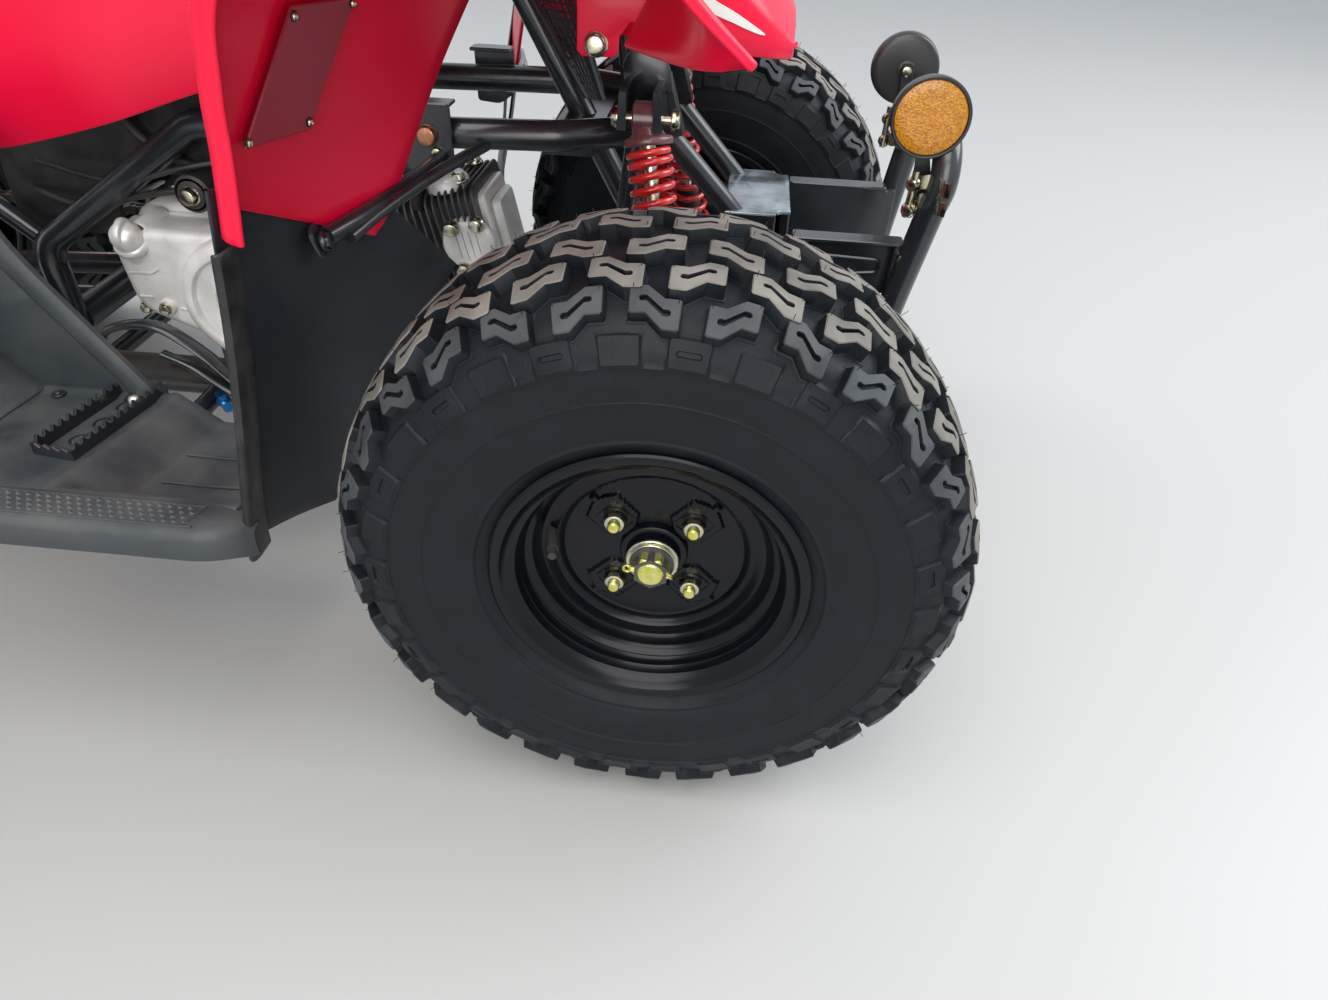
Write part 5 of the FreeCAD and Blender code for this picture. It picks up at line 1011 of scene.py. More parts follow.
# The wings: injection-moulded red polypropylene, one shell each side. It stands behind the front wheel,
# curls over it and ends in a pointed front edge. The outer edge is rolled over, and a darker plate is
# screwed on.
SKIN_MM = 3.5
WING_ROWS = [
    # outer edge, inner edge, way out of the skin in degrees from forward, sweep of the row
    ((264, -404, 498), (288, -243, 424), 167, 1.0),
    ((269, -407, 530), (296, -219, 441), 166, 1.0),
    ((276, -412, 572), (325, -162, 524), 163, 1.0),
    ((291, -418, 622), (351, -104, 590), 156, 1.1),
    ((345, -425, 690), (380, -96, 653), 132, 1.4),
    ((413, -430, 727), (418, -96, 704), 98, 1.6),
    ((484, -425, 684), (478, -100, 676), 60, 1.4),
    ((534, -406, 624), (494, -130, 608), 38, 1.0),
    ((568, -401, 592), (476, -196, 560), 24, 0.62),
]
LIP = [(9.0, 0.0), (5.5, -0.3), (2.8, -1.5), (1.0, -3.6), (0.0, -6.6), (-0.4, -12.5)]
LIP_TIP_DROP = 17.0
LIP_DEPTH = [1, 1, 1, 1, 0.9, 0.7, 0.4, 0.2, 0.1]


def smooth_rows(rows, per_span):
    """Rows of points with smooth rows in between."""
    columns = [smooth_line(column, per_span) for column in np.swapaxes(np.asarray(rows, float), 0, 1)]
    return np.swapaxes(np.array(columns), 0, 1)


def corner_cut(line, passes=3):
    """A polyline with its corners cut again and again, which rounds them and keeps both ends."""
    line = np.asarray(line, float)
    for _ in range(passes):
        early, late = line[:-1] * 0.75 + line[1:] * 0.25, line[:-1] * 0.25 + line[1:] * 0.75
        line = np.vstack([line[:1], np.stack([early, late], 1).reshape(-1, line.shape[1])[1:-1], line[-1:]])
    return line


def outward(rows):
    """The normals of a sheet of points."""
    down, across = np.gradient(rows, axis=0), np.gradient(rows, axis=1)
    normals = np.cross(down, across)
    return normals / np.maximum(np.linalg.norm(normals, axis=2), 1e-9)[:, :, None]


EDGE_TURN = [(0, 0), (0.2, 0.7), (0.5, 1), (0.8, 0.7), (1, 0)]  # through the sheet, out of its edge


def moulded(form, rows, thickness, slot=0):
    """A moulded sheet: the sheet itself, its back and a rounded rim."""
    normals = outward(rows) * thickness
    form.grid(rows, slot=slot)
    form.grid((rows - normals)[:, ::-1], slot=slot)
    for front, back in ((rows[0], normals[0]), (rows[-1][::-1], normals[-1][::-1]),
                        (rows[::-1, 0], normals[::-1, 0]), (rows[:, -1], normals[:, -1])):
        outside = np.cross(np.gradient(front, axis=0), back)
        outside *= thickness * 0.4 / np.maximum(np.linalg.norm(outside, axis=1), 1e-9)[:, None]
        form.grid([front - back * share - outside * out for share, out in EDGE_TURN], slot=slot)


def screw(form, place, way, head_r, slot=0, washer_r=0.0, washer_slot=0):
    """A domed screw head on an optional washer."""
    place, way = np.array(place, float), np.array(way, float) / np.linalg.norm(way)
    if washer_r:
        form.turned([(0, washer_r), (0.8, washer_r), (1.2, washer_r - 0.5), (1.2, 0.1)], place, way, 24,
                    washer_slot)
        place = place + way * 1.2
    dome = [(rise * head_r, r * head_r) for rise, r in ((0, 1), (0.3, 0.96), (0.55, 0.7), (0.6, 0.34),
                                                        (0.3, 0.22))]
    form.turned(dome + [(head_r * 0.3, 0.05)], place, way, 20, slot)


def wing_row(outer, inner, degrees, sweep, depth=1.0):
    """One station of the wing from its inner edge to the end of its rolled lip, as deep as asked."""
    outer, inner = np.array(outer, float), np.array(inner, float)
    way = np.insert(ray(degrees), 1, 0)
    share = np.linspace(0, 1, 15)[:-1, None]
    start = outer + (0, LIP[0][0] * depth, 0)
    fall = (inner - start) * (1, 0, 1)
    across = inner * (0, 1, 0) + share * (start - inner) * (0, 1, 0)
    row = across + start * (1, 0, 1) + fall * (1 - share) ** sweep
    swell = 4.5 * np.sin(share * math.pi) * way
    lip = np.array([outer + (0, inset * depth, 0) + way * rise * depth for inset, rise in LIP])
    return np.vstack([row + swell, lip])


red_plastic = finish("red_plastic", (0.70, 0.002, 0.032), (0.74, 0.004, 0.042), 0.36, 0.08, scale=6,
                     fine_scale=1600, bump=0.03, Coat_Weight=0.08, Coat_Roughness=0.18,
                     Specular_IOR_Level=0.32)
plate_red = finish("plate_red", (0.25, 0.016, 0.036), (0.29, 0.022, 0.044), 0.42, 0.08, scale=9,
                   fine_scale=1500, bump=0.04)
screw_black = finish("screw_black", (0.02, 0.02, 0.022), (0.05, 0.05, 0.05), 0.3, 0.1, scale=90,
                     metallic=0.6)
stations = np.array([wing_row(*row, depth) for row, depth in zip(WING_ROWS, LIP_DEPTH)])
lip_count = len(LIP) - 1
stations[0, -lip_count:] -= (LIP_TIP_DROP * 0.18, 0, LIP_TIP_DROP)
wing = Form()
moulded(wing, smooth_rows(stations, 9), SKIN_MM)
PLATE = np.array([(294.0, -335, 598), (307.5, -271, 594), (283.5, -321, 524.5), (269.5, -382, 529)])
across_plate = (PLATE[1] - PLATE[0]) / np.linalg.norm(PLATE[1] - PLATE[0])
plate_way = np.cross(PLATE[2] - PLATE[0], PLATE[1] - PLATE[3])
plate_way *= np.sign(plate_way[0]) / np.linalg.norm(plate_way)
up_plate = np.cross(plate_way, across_plate)
flat_plate = [((corner - PLATE[0]) @ across_plate, (corner - PLATE[0]) @ up_plate) for corner in PLATE]
wing.prism(flat_plate, plate_way * 2.2, PLATE[0] + plate_way * 4.0, across_plate, up_plate, slot=1,
           bevel=0.8)
SCREW_INSET = 5.5
for corner in PLATE:
    inward = PLATE.mean(axis=0) - corner
    spot = corner + inward * SCREW_INSET / np.linalg.norm(inward) + plate_way * 6.0
    screw(wing, spot, plate_way, head_r=2.6, slot=3, washer_r=3.3, washer_slot=2)
TAB = [(434, 580), (433, 545), (437, 541), (461, 541), (465, 545), (466, 556), (474, 566), (490, 566),
       (490, 584)]
TAB_Y, TAB_WAY = -146.0, (0, -1, 0.1)
wing.prism(TAB, (0, -SKIN_MM, 0), (0, TAB_Y, 0), bevel=1.0, steps=2)
screw(wing, (448, TAB_Y - 3.5, 550), TAB_WAY, head_r=2.0, slot=3, washer_r=9.5, washer_slot=3)
hexagon(wing, (448, TAB_Y - 4.5, 550), TAB_WAY, across=13.0, height=6.5, slot=3, flange_r=8.5)
wing.paired().piece("wings", "chassis", [red_plastic, plate_red, screw_black, zinc], sharp=40,
                    replaces="front_fenders")


# The body panels: the beaked nose cowl, the tank cover with its side panels, the tail and the rear wings.
# All are moulded in the same red, with soft rounded edges. A white stripe runs down each side of the beak.
COWL_ROWS = [
    # x, half width at the top and bottom, z of the ridge, the shoulder and the lower edge
    (225, 86, 118, 812, 760, 640), (290, 91, 118, 793, 745, 612), (355, 94, 118, 770, 728, 590),
    (430, 96, 118, 736, 700, 560), (480, 92, 117, 702, 670, 550), (525, 84, 113, 662, 630, 543),
    (575, 60, 92, 604, 584, 537), (600, 34, 62, 566, 556, 531), (603.5, 20, 40, 555, 549, 532),
]
COVER_ROWS = [(226, 72, 132, 812, 762, 546), (150, 74, 150, 794, 742, 510), (95, 75, 160, 781, 727, 491),
              (40, 76, 168, 768, 712, 473), (-34, 73, 166, 748, 698, 453), (-70, 71, 162, 736, 689, 446),
              (-88, 70, 158, 730, 684, 452),]
TAIL_HALF = 138.0
TAIL_ROWS = [(-590, 722, 648), (-650, 708, 632), (-712, 676, 606), (-738, 645, 594), (-744, 630, 592)]
STRIPE_LINE = [(400, 696, 4.0), (440, 662, 6.0), (490, 610, 6.5), (527, 579, 5.5), (552, 566, 4.2),
               (570, 556.5, 2.2), (577, 553, 0.6)]


def hood_line(x, top_half, low_half, ridge, shoulder, low):
    """One station of a hooded panel from its lower right edge over the ridge to the lower left."""
    half = [(low_half, low), (low_half + 2, (low + shoulder) / 2), (low_half - 1, shoulder - 12),
            (top_half + 4, shoulder + 2), (top_half * 0.55, (shoulder + ridge) / 2 + 4), (0, ridge)]
    line = [(x, -y, z) for y, z in half] + [(x, y, z) for y, z in half[-2::-1]]
    return corner_cut(line, 2)


white_paint = finish("stripe_white", (0.74, 0.73, 0.68), (0.80, 0.79, 0.75), 0.35, 0.05, bump=0.02)
cowl = Form()
cowl_rows = smooth_rows([hood_line(*row) for row in COWL_ROWS], 8)
moulded(cowl, cowl_rows, SKIN_MM)
WALL_POINTS, STRIPE_RISE = 14, 0.7  # points of a station on the right wall, and the paint's height
stripe = []
for x, z, half in smooth_line(STRIPE_LINE, 8):
    row = np.argmin(np.abs(cowl_rows[:, 0, 0] - x))
    nearest, ahead = cowl_rows[row], cowl_rows[min(row + 1, len(cowl_rows) - 1)]
    share = np.clip((x - nearest[0, 0]) / max(ahead[0, 0] - nearest[0, 0], 1e-6), -1, 1)
    wall = nearest[:WALL_POINTS] * (1 - share) + ahead[:WALL_POINTS] * share
    across = z + half * np.array([-1, -0.9, 0, 0.9, 1])
    skin_y = np.interp(across, wall[:, 2], wall[:, 1])
    stripe.append(np.stack([across * 0 + x, skin_y - STRIPE_RISE * np.array([-1, 1, 1, 1, -1]), across], 1))
decal = Form()
decal.grid(stripe)
decal.paired().piece("nose_stripes", "chassis", [white_paint], sharp=60)
cowl.piece("nose_cowl_moulded", "chassis", [red_plastic], sharp=40, replaces="nose_cowl")
cover = Form()
moulded(cover, smooth_rows([hood_line(*row) for row in COVER_ROWS], 8), SKIN_MM)
cover.piece("centre_cover_moulded", "chassis", [red_plastic], sharp=40, replaces="centre_cover")
tail = Form()
stations = []
for x, deck, skirt in TAIL_ROWS:
    half = [(TAIL_HALF, skirt), (TAIL_HALF + 1, (skirt + deck) / 2), (TAIL_HALF - 2, deck - 8),
            (TAIL_HALF - 24, deck + 1), (0, deck + 3)]
    stations.append(corner_cut([(x, -y, z) for y, z in half] + [(x, y, z) for y, z in half[-2::-1]], 2))
moulded(tail, smooth_rows(stations, 6), SKIN_MM)
tail.piece("tail_moulded", "chassis", [red_plastic], sharp=40, replaces="tail_cover")
REAR_WING_ROWS = [
    # outer edge, inner edge, way out of the skin, sweep
    ((-225, -372, 508), (-211, -186, 520), 40, 1.2), ((-279, -400, 560), (-262, -168, 580), 50, 1.2),
    ((-375, -424, 622), (-360, -96, 655), 66, 1.3), ((-505, -432, 652), (-504, -96, 666), 86, 1.3),
    ((-635, -430, 640), (-636, -96, 646), 104, 1.2), ((-731, -414, 596), (-734, -136, 603), 122, 1.0),
]
rear_wing = Form()
stations = np.array([wing_row(*row) for row in REAR_WING_ROWS[::-1]])
moulded(rear_wing, smooth_rows(stations, 9), -SKIN_MM)
rear_wing.paired().piece("rear_wings_moulded", "chassis", [red_plastic], sharp=40, replaces="rear_fenders")


# The lamps: a pair of clear slanted headlamp lenses let into the beak, and the red tail lamp. Each lens is
# moulded plastic over a bright ribbed reflector, so the ribs show through as fine vertical lines.
lamp_clear = finish("lamp_clear", (0.55, 0.56, 0.57), (0.70, 0.71, 0.72), 0.10, 0.05, scale=60, bump=0.05,
                    Coat_Weight=0.8)
lamps = Form()
LAMP_CORNERS = np.array([(536, -66, 640), (536, -30, 652), (574, -24, 606), (574, -50, 597)])
LAMP_RIBS = 12
for rib in range(LAMP_RIBS):
    edge = LAMP_CORNERS[0] + (LAMP_CORNERS[1] - LAMP_CORNERS[0]) * (rib + 0.5) / LAMP_RIBS
    foot = LAMP_CORNERS[3] + (LAMP_CORNERS[2] - LAMP_CORNERS[3]) * (rib + 0.5) / LAMP_RIBS
    lamps.bar(smooth_line([edge, (edge + foot) / 2 + (4, 0, 4), foot], 4), 2.1, 8)
lamps.paired().piece("headlamp_lenses", "chassis", [lamp_clear], replaces="headlamps")


# The mud flaps: flat sheets of black polyethylene between the wing's rear wall and the foot well. Each is
# screwed to the wing at its pointed top corner and clipped to the frame at the other.
flap_black = finish("flap_black", (0.008, 0.011, 0.016), (0.015, 0.019, 0.025), 0.48, 0.12, bump=0.2,
                    dust=0.08)
FLAP_ROWS = [[(260, -405, 510), (284, -218, 446)], [(247, -400, 424), (302, -98, 341)],
             [(213, -378, 226), (227, -284, 188)]]
flap = Form()
flap_rows = []
across = np.linspace(0, 1, 14)[:, None]
bow = (-3.0, 0, 0) * np.sin(across * math.pi)
upper, lower = np.arange(12) / 12, np.arange(21) / 20
for (a, b), (c, d), shares, bows in (FLAP_ROWS[:2] + [upper, upper],
                                     FLAP_ROWS[1:] + [lower, lower * 0 + 1]):
    for share, bowed in zip(shares, bows):
        left = np.array(a) + (np.array(c) - a) * share
        right = np.array(b) + (np.array(d) - b) * share
        flap_rows.append(left + (right - left) * across + bow * bowed)
moulded(flap, np.array(flap_rows), 2.5)
for place in ((263, -389, 489), (285, -140, 352)):
    screw(flap, place, (0.97, 0, 0.22), head_r=3.2, slot=1, washer_r=5.0, washer_slot=1)
flap.paired().piece("mud_flaps_cut", "chassis", [flap_black, zinc], sharp=38, replaces="mud_flaps")


# The foot wells: one grained charcoal polypropylene moulding each side, screwed to the frame. The tread
# board steps down in front of the peg, its rounded outer lip carries a chequered strip, and the heel wall
# has a raised rim.
charcoal = finish("charcoal_plastic", (0.026, 0.033, 0.038), (0.040, 0.048, 0.053), 0.50, 0.15, scale=16,
                  fine_scale=1500, bump=0.35, dust=0.22)
FRONT_EDGE, HEEL, TREAD, SUNK = 211.0, -46.0, 262.0, 236.0
LIP_TURN = [(-392, 0), (-396, 1.2), (-421, 1.2), (-426, 0.4), (-430, -2.0), (-432, -6.0), (-432, -20),
            (-430.5, -25), (-427, -27)]


def eased(value, start, end):
    """From 0 at start to 1 at end along a smooth step."""
    share = np.clip((value - start) / (end - start), 0, 1)
    return share * share * (3 - 2 * share)


well = Form()
xs, ys = np.linspace(HEEL, FRONT_EDGE - 4, 90), np.linspace(-249, -394, 38)
gx, gy = np.meshgrid(xs, ys, indexing="ij")
brink = 62 + (gy + 365) * 0.2
tread_z = TREAD - (TREAD - SUNK) * np.clip((gx - brink) / 34, 0, 1) * eased(gy, -388, -376)
tread_z += 26 * eased(gx, 186, 211) * eased(gy, -388, -376) + 3 * eased(gy, -262, -249)
tread_z += 1.4 * np.exp(-((gx - brink + 5) / 5.0) ** 2) * eased(gy, -392, -384)
moulded(well, np.stack([gx, gy, tread_z], 2), -3.5)
for y_ridge in (-300, -340):
    well.bar(smooth_line([(110, y_ridge, 237.6), (150, y_ridge, 236.8), (180, y_ridge, 237.6)], 6), 1.6, 8,
             squash=0.7)
lip = []
for x, lift, inset in [(-224, 236, 0), (-196, 190, 0), (-120, 96, 0), (-72, 36, 0), (-58, 14, 0),
                       (-46, 2, 0), (-30, 0, 0), (40, 0, 0), (120, 0, 0), (180, 0, 0), (200, -1, 4),
                       (214, -5, 14), (222, -12, 26)]:
    lip.append([(x, y + inset * (y < -400), TREAD + lift + z) for y, z in LIP_TURN])
well.grid(smooth_rows(lip, 5))
slope = []
slope_across = list(zip(np.linspace(0, 1, 12), np.linspace(-400, -249, 12)))
for x, z, lean in ((-43, 261, 0), (-52, 268, 0), (-72, 290, 0), (-110, 340, 0), (-160, 408, 0),
                   (-196, 452, 0), (-230, 499, 0)):
    slope.append([(x + 3 * math.cos(s * 6), y, z) for s, y in slope_across])
moulded(well, smooth_rows(slope, 6), 3.5)
heel_front = smooth_line([(66, 262), (52, 284), (18, 336), (-10, 380), (-24, 410), (-34, 450), (-40, 484)],
                         6)
heel_rear = smooth_line([(-44, 261), (-56, 272), (-90, 314), (-130, 368), (-170, 420), (-200, 458),
                         (-230, 497)], 6)
RIM_TURN = [(0, -3), (0, -6.5), (0.02, -8), (0.06, -8.2), (0.12, -8.0), (0.145, -6.8), (0.16, -3.5),
            (0.18, -2.6), (0.5, -0.8), (1, 0)]
wall = []
for (fx, fz), (rx, rz) in zip(heel_front, heel_rear):
    reach = min(1.0, 150.0 / math.hypot(rx - fx, rz - fz))
    turn = [(s * (reach if s < 0.2 else 1), y) for s, y in RIM_TURN]
    wall.append([(fx + (rx - fx) * s, -247 + y * 0.9, fz + (rz - fz) * s) for s, y in turn])
moulded(well, np.array(wall), -3.0)
strip = []
for x, y_out, y_in, z in ((258, -417, -396, 474), (250, -414, -393, 420), (238, -412, -390, 352),
                          (224, -408, -386, 290), (213, -404, -380, 240), (208, -400, -374, 213)):
    fold = [(x + ahead, y_out + inset, z) for ahead, inset in ((-1, 1), (2, -0.5), (4.5, 1.5), (5.5, 6))]
    strip.append(fold + [(x + 5.5, y_in, z)])
moulded(well, smooth_rows(strip, 6), 3.0, 1)
CHEQUER_Z, CHEQUER_PITCH, CHEQUER_ROW, BORDER_Z, BORDER_R = 263.0, 8.0, 5.6, 263.2, 1.1
for i in range(27):
    for j in range(4):
        x, y = -34 + i * CHEQUER_PITCH + (j % 2) * CHEQUER_PITCH / 2, -401 - j * CHEQUER_ROW
        base = [(x - 3.6, y, CHEQUER_Z), (x, y - 2.5, CHEQUER_Z), (x + 3.6, y, CHEQUER_Z),
                (x, y + 2.5, CHEQUER_Z)]
        well.put(base + [(x, y, CHEQUER_Z + 2.2)], [(0, 1, 4), (1, 2, 4), (2, 3, 4), (3, 0, 4)])
for y in (-397.6, -421.6):
    well.bar([(x, y, BORDER_Z) for x in (-38, 80, 186)], BORDER_R, 6)
well.bar([(186, -397.6, BORDER_Z), (178, -421.6, BORDER_Z)], BORDER_R, 6)
for place in ((-20, -262, 263.4), (150, -270, 238.4), (-80, -256, 420)):
    screw(well, place, UP if place[2] < 300 else TO_RIGHT, head_r=3.0, slot=1, washer_r=6.0, washer_slot=1)
well.paired().piece("foot_wells_moulded", "chassis", [charcoal, black_cast], sharp=38, replaces="footwells")


# The foot pegs: two serrated rails of pressed steel on a tray, welded to an arm from the lower rail and
# sprayed black. A domed bolt holds the tray to the arm.
peg = Form()
PEG_INNER, PEG_OUTER, PEG_HALF = np.array((52.0, -240.0, 264.0)), np.array((34.0, -352.0, 264.0)), 18.0
peg_way = (PEG_OUTER - PEG_INNER) / np.linalg.norm(PEG_OUTER - PEG_INNER)
peg_side = np.cross(peg_way, (0, 0, 1))
peg_length = np.linalg.norm(PEG_OUTER - PEG_INNER)
saw = [(0, -6), (0, 8)]
PEG_TEETH, TOOTH = 13, [(0, 8.5), (0.28, 12.5), (0.45, 12.0), (0.62, 8.0), (0.8, 7.4)]
step = (peg_length - 4) / PEG_TEETH
for i in range(PEG_TEETH):
    saw += [(2 + (i + share) * step, height) for share, height in TOOTH]
saw += [(peg_length, 8), (peg_length, -6)]
for sign in (-1, 1):
    peg.prism(saw, peg_side * 3.0, PEG_INNER + peg_side * (sign * PEG_HALF - 1.5), peg_way, UP, bevel=0.5)
tray = [(0, -PEG_HALF), (peg_length, -PEG_HALF), (peg_length, PEG_HALF), (0, PEG_HALF)]
peg.prism(tray, (0, 0, 3), PEG_INNER - (0, 0, 6), peg_way, peg_side, bevel=0.6)
end_saw = [(-PEG_HALF, -6), (-PEG_HALF, 6), (-12, 9), (-8, 6), (-3, 9), (1, 6), (6, 9), (10, 6), (14, 9)]
end_saw += [(PEG_HALF, 7), (PEG_HALF, -6)]
peg.prism(end_saw, -peg_way * 3, PEG_OUTER, peg_side, UP, bevel=0.5)
for share in (0.28, 0.52, 0.76):
    hole = PEG_INNER + peg_way * peg_length * share - (0, 0, 3)
    peg.turned([(0, 7), (1.2, 8.2), (1.2, 5.6), (-1, 5.2)], hole, UP, 24)
dome = PEG_INNER + peg_way * 20 - (0, 0, 3)
peg.turned([(0, 9.5), (1.5, 9.5), (1.8, 8.0), (4.5, 7.2), (7.0, 4.5), (7.8, 0.05)], dome, UP, 32, slot=1)
peg.bar(smooth_line([(36, -100, 190), (38, -160, 191), (42, -210, 202), (46, -262, 236), (44, -300, 250)],
                    8), 10, 20)
peg.paired().piece("foot_pegs_serrated", "chassis", [frame_paint, zinc], sharp=38, replaces="foot_pegs")


# The brake pedal: a flat forged arm that curves up in front of the right peg, painted black, with its pivot
# bolt and the return spring's bright fitting below.
pedal = Form()
PEDAL_ARM = [(-44, -164, 258), (-30, -164, 276), (0, -164, 285), (30, -164, 282), (62, -164, 258),
             (92, -164, 226), (128, -168, 214)]
pedal.bar(smooth_line(PEDAL_ARM, 8), 8.5, 16, squash=0.45)
pedal.bar(smooth_line([(20, -166, 256), (50, -168, 244), (84, -170, 220), (120, -176, 206)], 8), 6.0, 14,
          squash=0.6)
pedal.prism(rounded([(112, 192), (146, 192), (146, 222), (112, 224)], 8), (0, 26, 0), (0, -196, 0), bevel=2,
            steps=2)
hexagon(pedal, (-40, -168, 264), TO_RIGHT, across=12, height=7, slot=1, flange_r=8.5)
pedal.turned([(0, 5), (10, 5), (11, 7), (15, 7), (16, 5), (24, 5), (24, 0.05)], (62, -152, 188),
             (0, -0.3, 1), 24, slot=2)
blue = finish("blue_anodised", (0.02, 0.16, 0.50), (0.04, 0.26, 0.62), 0.25, 0.1, scale=90, bump=0.05,
              metallic=0.7)
pedal.piece("brake_pedal", "chassis", [frame_paint, zinc, blue], sharp=38)


# The seat: a moulded foam pad under grained black vinyl, stretched over a plastic base and stapled below.
# Welted seams run along both shoulders, and the top has a matt panel between two cross seams.
SEAT_ROWS = [
    # x, half width low, half width at the shoulder, z of the base, z of the top
    (-90, 96, 66, 655, 736), (-110, 100, 74, 656, 741), (-150, 105, 80, 655, 737), (-300, 116, 92, 661,
                                                                                    728), (-420, 123, 99,
                                                                                           665, 736),
    (-520, 124, 101, 669, 748), (-570, 119, 96, 671, 753), (-588, 112, 88, 675, 744),
]
SEAT_CROWN, SEAM_DIP, CROSS_SEAMS = 5.0, 1.6, (-210, -470)
WELT_R, THREAD_R, STITCH_OUT = 1.5, 0.45, 3.4


def seat_line(x, low, shoulder, base, top):
    """One section of the cushion from its lower right edge over the crown to the lower left."""
    half = [(low - 10, base), (low, base + 4), (low + 2, base + (top - base) * 0.35),
            (low - 2, base + (top - base) * 0.62), (shoulder + 8, top - 13), (shoulder - 4, top - 5),
            (shoulder * 0.5, top + SEAT_CROWN - 6), (0, top)]
    return corner_cut([(x, -y, z) for y, z in half] + [(x, y, z) for y, z in half[-2::-1]], 2)


vinyl = finish("seat_vinyl", (0.012, 0.012, 0.013), (0.021, 0.021, 0.021), 0.50, 0.12, scale=12,
               fine_scale=1100, bump=0.5, dust=0.12)
vinyl_matt = finish("seat_vinyl_matt", (0.018, 0.018, 0.019), (0.026, 0.026, 0.026), 0.62, 0.10, scale=10,
                    fine_scale=500, bump=0.8, dust=0.10)
thread = finish("seat_thread", (0.05, 0.05, 0.05), (0.08, 0.08, 0.08), 0.7, 0.1, scale=300, bump=0.4)
cushion_rows = smooth_rows([seat_line(*row) for row in SEAT_ROWS], 10)
wide = cushion_rows.shape[1]
ridge_from, ridge_to = int(wide * 0.30), int(wide * 0.70)
ridge_hump = np.sin(np.linspace(0, math.pi, ridge_to - ridge_from))
for row in cushion_rows:
    x = row[0, 0]
    for cross in CROSS_SEAMS:
        row[ridge_from:ridge_to, 2] -= SEAM_DIP * math.exp(-((x - cross) / 3.2) ** 2)
    row[ridge_from - 1, 2] -= SEAM_DIP
    row[-ridge_from, 2] -= SEAM_DIP
    row[ridge_from:ridge_to, 2] += 0.8 * math.sin(x * 0.06) * ridge_hump
seat = Form()
seat.grid(cushion_rows)
for i in range(len(cushion_rows) - 1):
    if CROSS_SEAMS[1] < cushion_rows[i][0, 0] < CROSS_SEAMS[0]:
        for j in range(ridge_from, ridge_to - 1):
            seat.slots[i * (wide - 1) + j] = 1
for end, sign in ((cushion_rows[0], 1), (cushion_rows[-1], -1)):
    middle = end.mean(axis=0)
    caps = [middle + (end - middle) * share + (sign * bulge, 0, 0) for share,
            bulge in ((1, 0), (0.93, 1.2), (0.6, 1.9), (0.01, 2.0))]
    seat.grid(caps)
under = np.stack([cushion_rows[:, 0], cushion_rows[:, 0] * (1, 0.5, 1), cushion_rows[:, -1] * (1, 0.5, 1),
                  cushion_rows[:, -1]], 1)
seat.grid(under)
for column in (ridge_from - 1, wide - ridge_from):
    seam = cushion_rows[3:-3, column] + (0, 0, 1.2)
    side = STITCH_OUT if column < wide / 2 else -STITCH_OUT
    seat.bar(seam, WELT_R, 8)
    for here, there in zip(seam, seam[1:]):
        for share in (0.1, 0.6):
            spot = here + (there - here) * share
            seat.bar([spot + (0, side, 0.3), spot + (3.0, side, 0.3)], THREAD_R, 5, slot=2)
cushion = seat.piece("seat_cushion", "chassis", [vinyl, vinyl_matt, thread], sharp=50, replaces="seat")


# The steering head: a raked steel column with the bar clamped on top, a padded cover over the clamp, and
# the bar itself, bent from tube and sprayed black. The column's plate pulls the tie rods.
RAKE = math.radians(28)
COLUMN_WAY = np.array((-math.sin(RAKE), 0, math.cos(RAKE)))
COLUMN_AHEAD = np.array((math.cos(RAKE), 0, math.sin(RAKE)))
COLUMN_FOOT = np.array((525.0, 0.0, 247.5))


def on_column(distance, forward, side):
    """A point in the column's own frame."""
    return COLUMN_FOOT + COLUMN_WAY * distance + COLUMN_AHEAD * forward + (0, side, 0)


dress(["steering_column", "handlebar"], frame_paint)
pod_skin = finish("pod_vinyl", (0.016, 0.016, 0.017), (0.026, 0.026, 0.027), 0.55, 0.1, scale=20,
                  fine_scale=700, bump=0.6, dust=0.1)
pod = Form()
pod_rows = []
for level, grow, cut in ((744, 0.90, 9), (746, 0.98, 9), (752, 1.0, 10), (768, 0.96, 11), (776, 0.88, 12),
                         (779.5, 0.74, 12), (781, 0.4, 6), (781.3, 0.02, 1)):
    ring = rounded(np.array([(-34, -60), (-34, 60), (28, 48), (44, 20), (44, -20), (28, -48)]) * grow, cut,
                   6)
    pod_rows.append([on_column(level, f, s) for f, s in ring])
pod.grid(pod_rows, closed=True)
pod_foot = np.array(pod_rows[0])
pod_middle = pod_foot.mean(axis=0)
pod.grid([pod_foot, pod_middle + (pod_foot - pod_middle) * 0.02], closed=True)
for side in (-22, 22):
    pod.turned([(0, 8), (3, 8), (4, 7), (4, 5.5), (3, 5), (3, 0.05)], on_column(780, 4, side), COLUMN_WAY,
               28, slot=1)
pod.piece("bar_pad", "steering", [pod_skin, lamp_clear], sharp=40, replaces="instrument_pod")

grip_rubber = finish("grip_rubber", (0.012, 0.012, 0.012), (0.022, 0.022, 0.022), 0.62, 0.1, scale=40,
                     bump=0.5, dust=0.14)
grips = Form()
bend, bar_end = on_column(784, -48, -215), on_column(774, -95, -355)
bar_way = (bar_end - bend) / np.linalg.norm(bar_end - bend)
bar_length = np.linalg.norm(bar_end - bend)
FLANGE = [(0.22, 12), (0.22, 22.5), (0.235, 23.6), (0.25, 23), (0.26, 17)]
ribs = [(share * bar_length, r) for share, r in FLANGE]
GRIP_RIBS, RIB_SHARE = 24, 0.0305
for i in range(GRIP_RIBS):
    start = (0.27 + i * RIB_SHARE) * bar_length
    ribs += [(start, 14.6), (start + 1.0, 15.7), (start + 3.0, 15.7), (start + 3.8, 14.6)]
ribs += [(1.015 * bar_length, 15.6), (1.03 * bar_length, 12), (1.03 * bar_length, 0.05)]
grips.turned(ribs, bend, bar_way, 36)
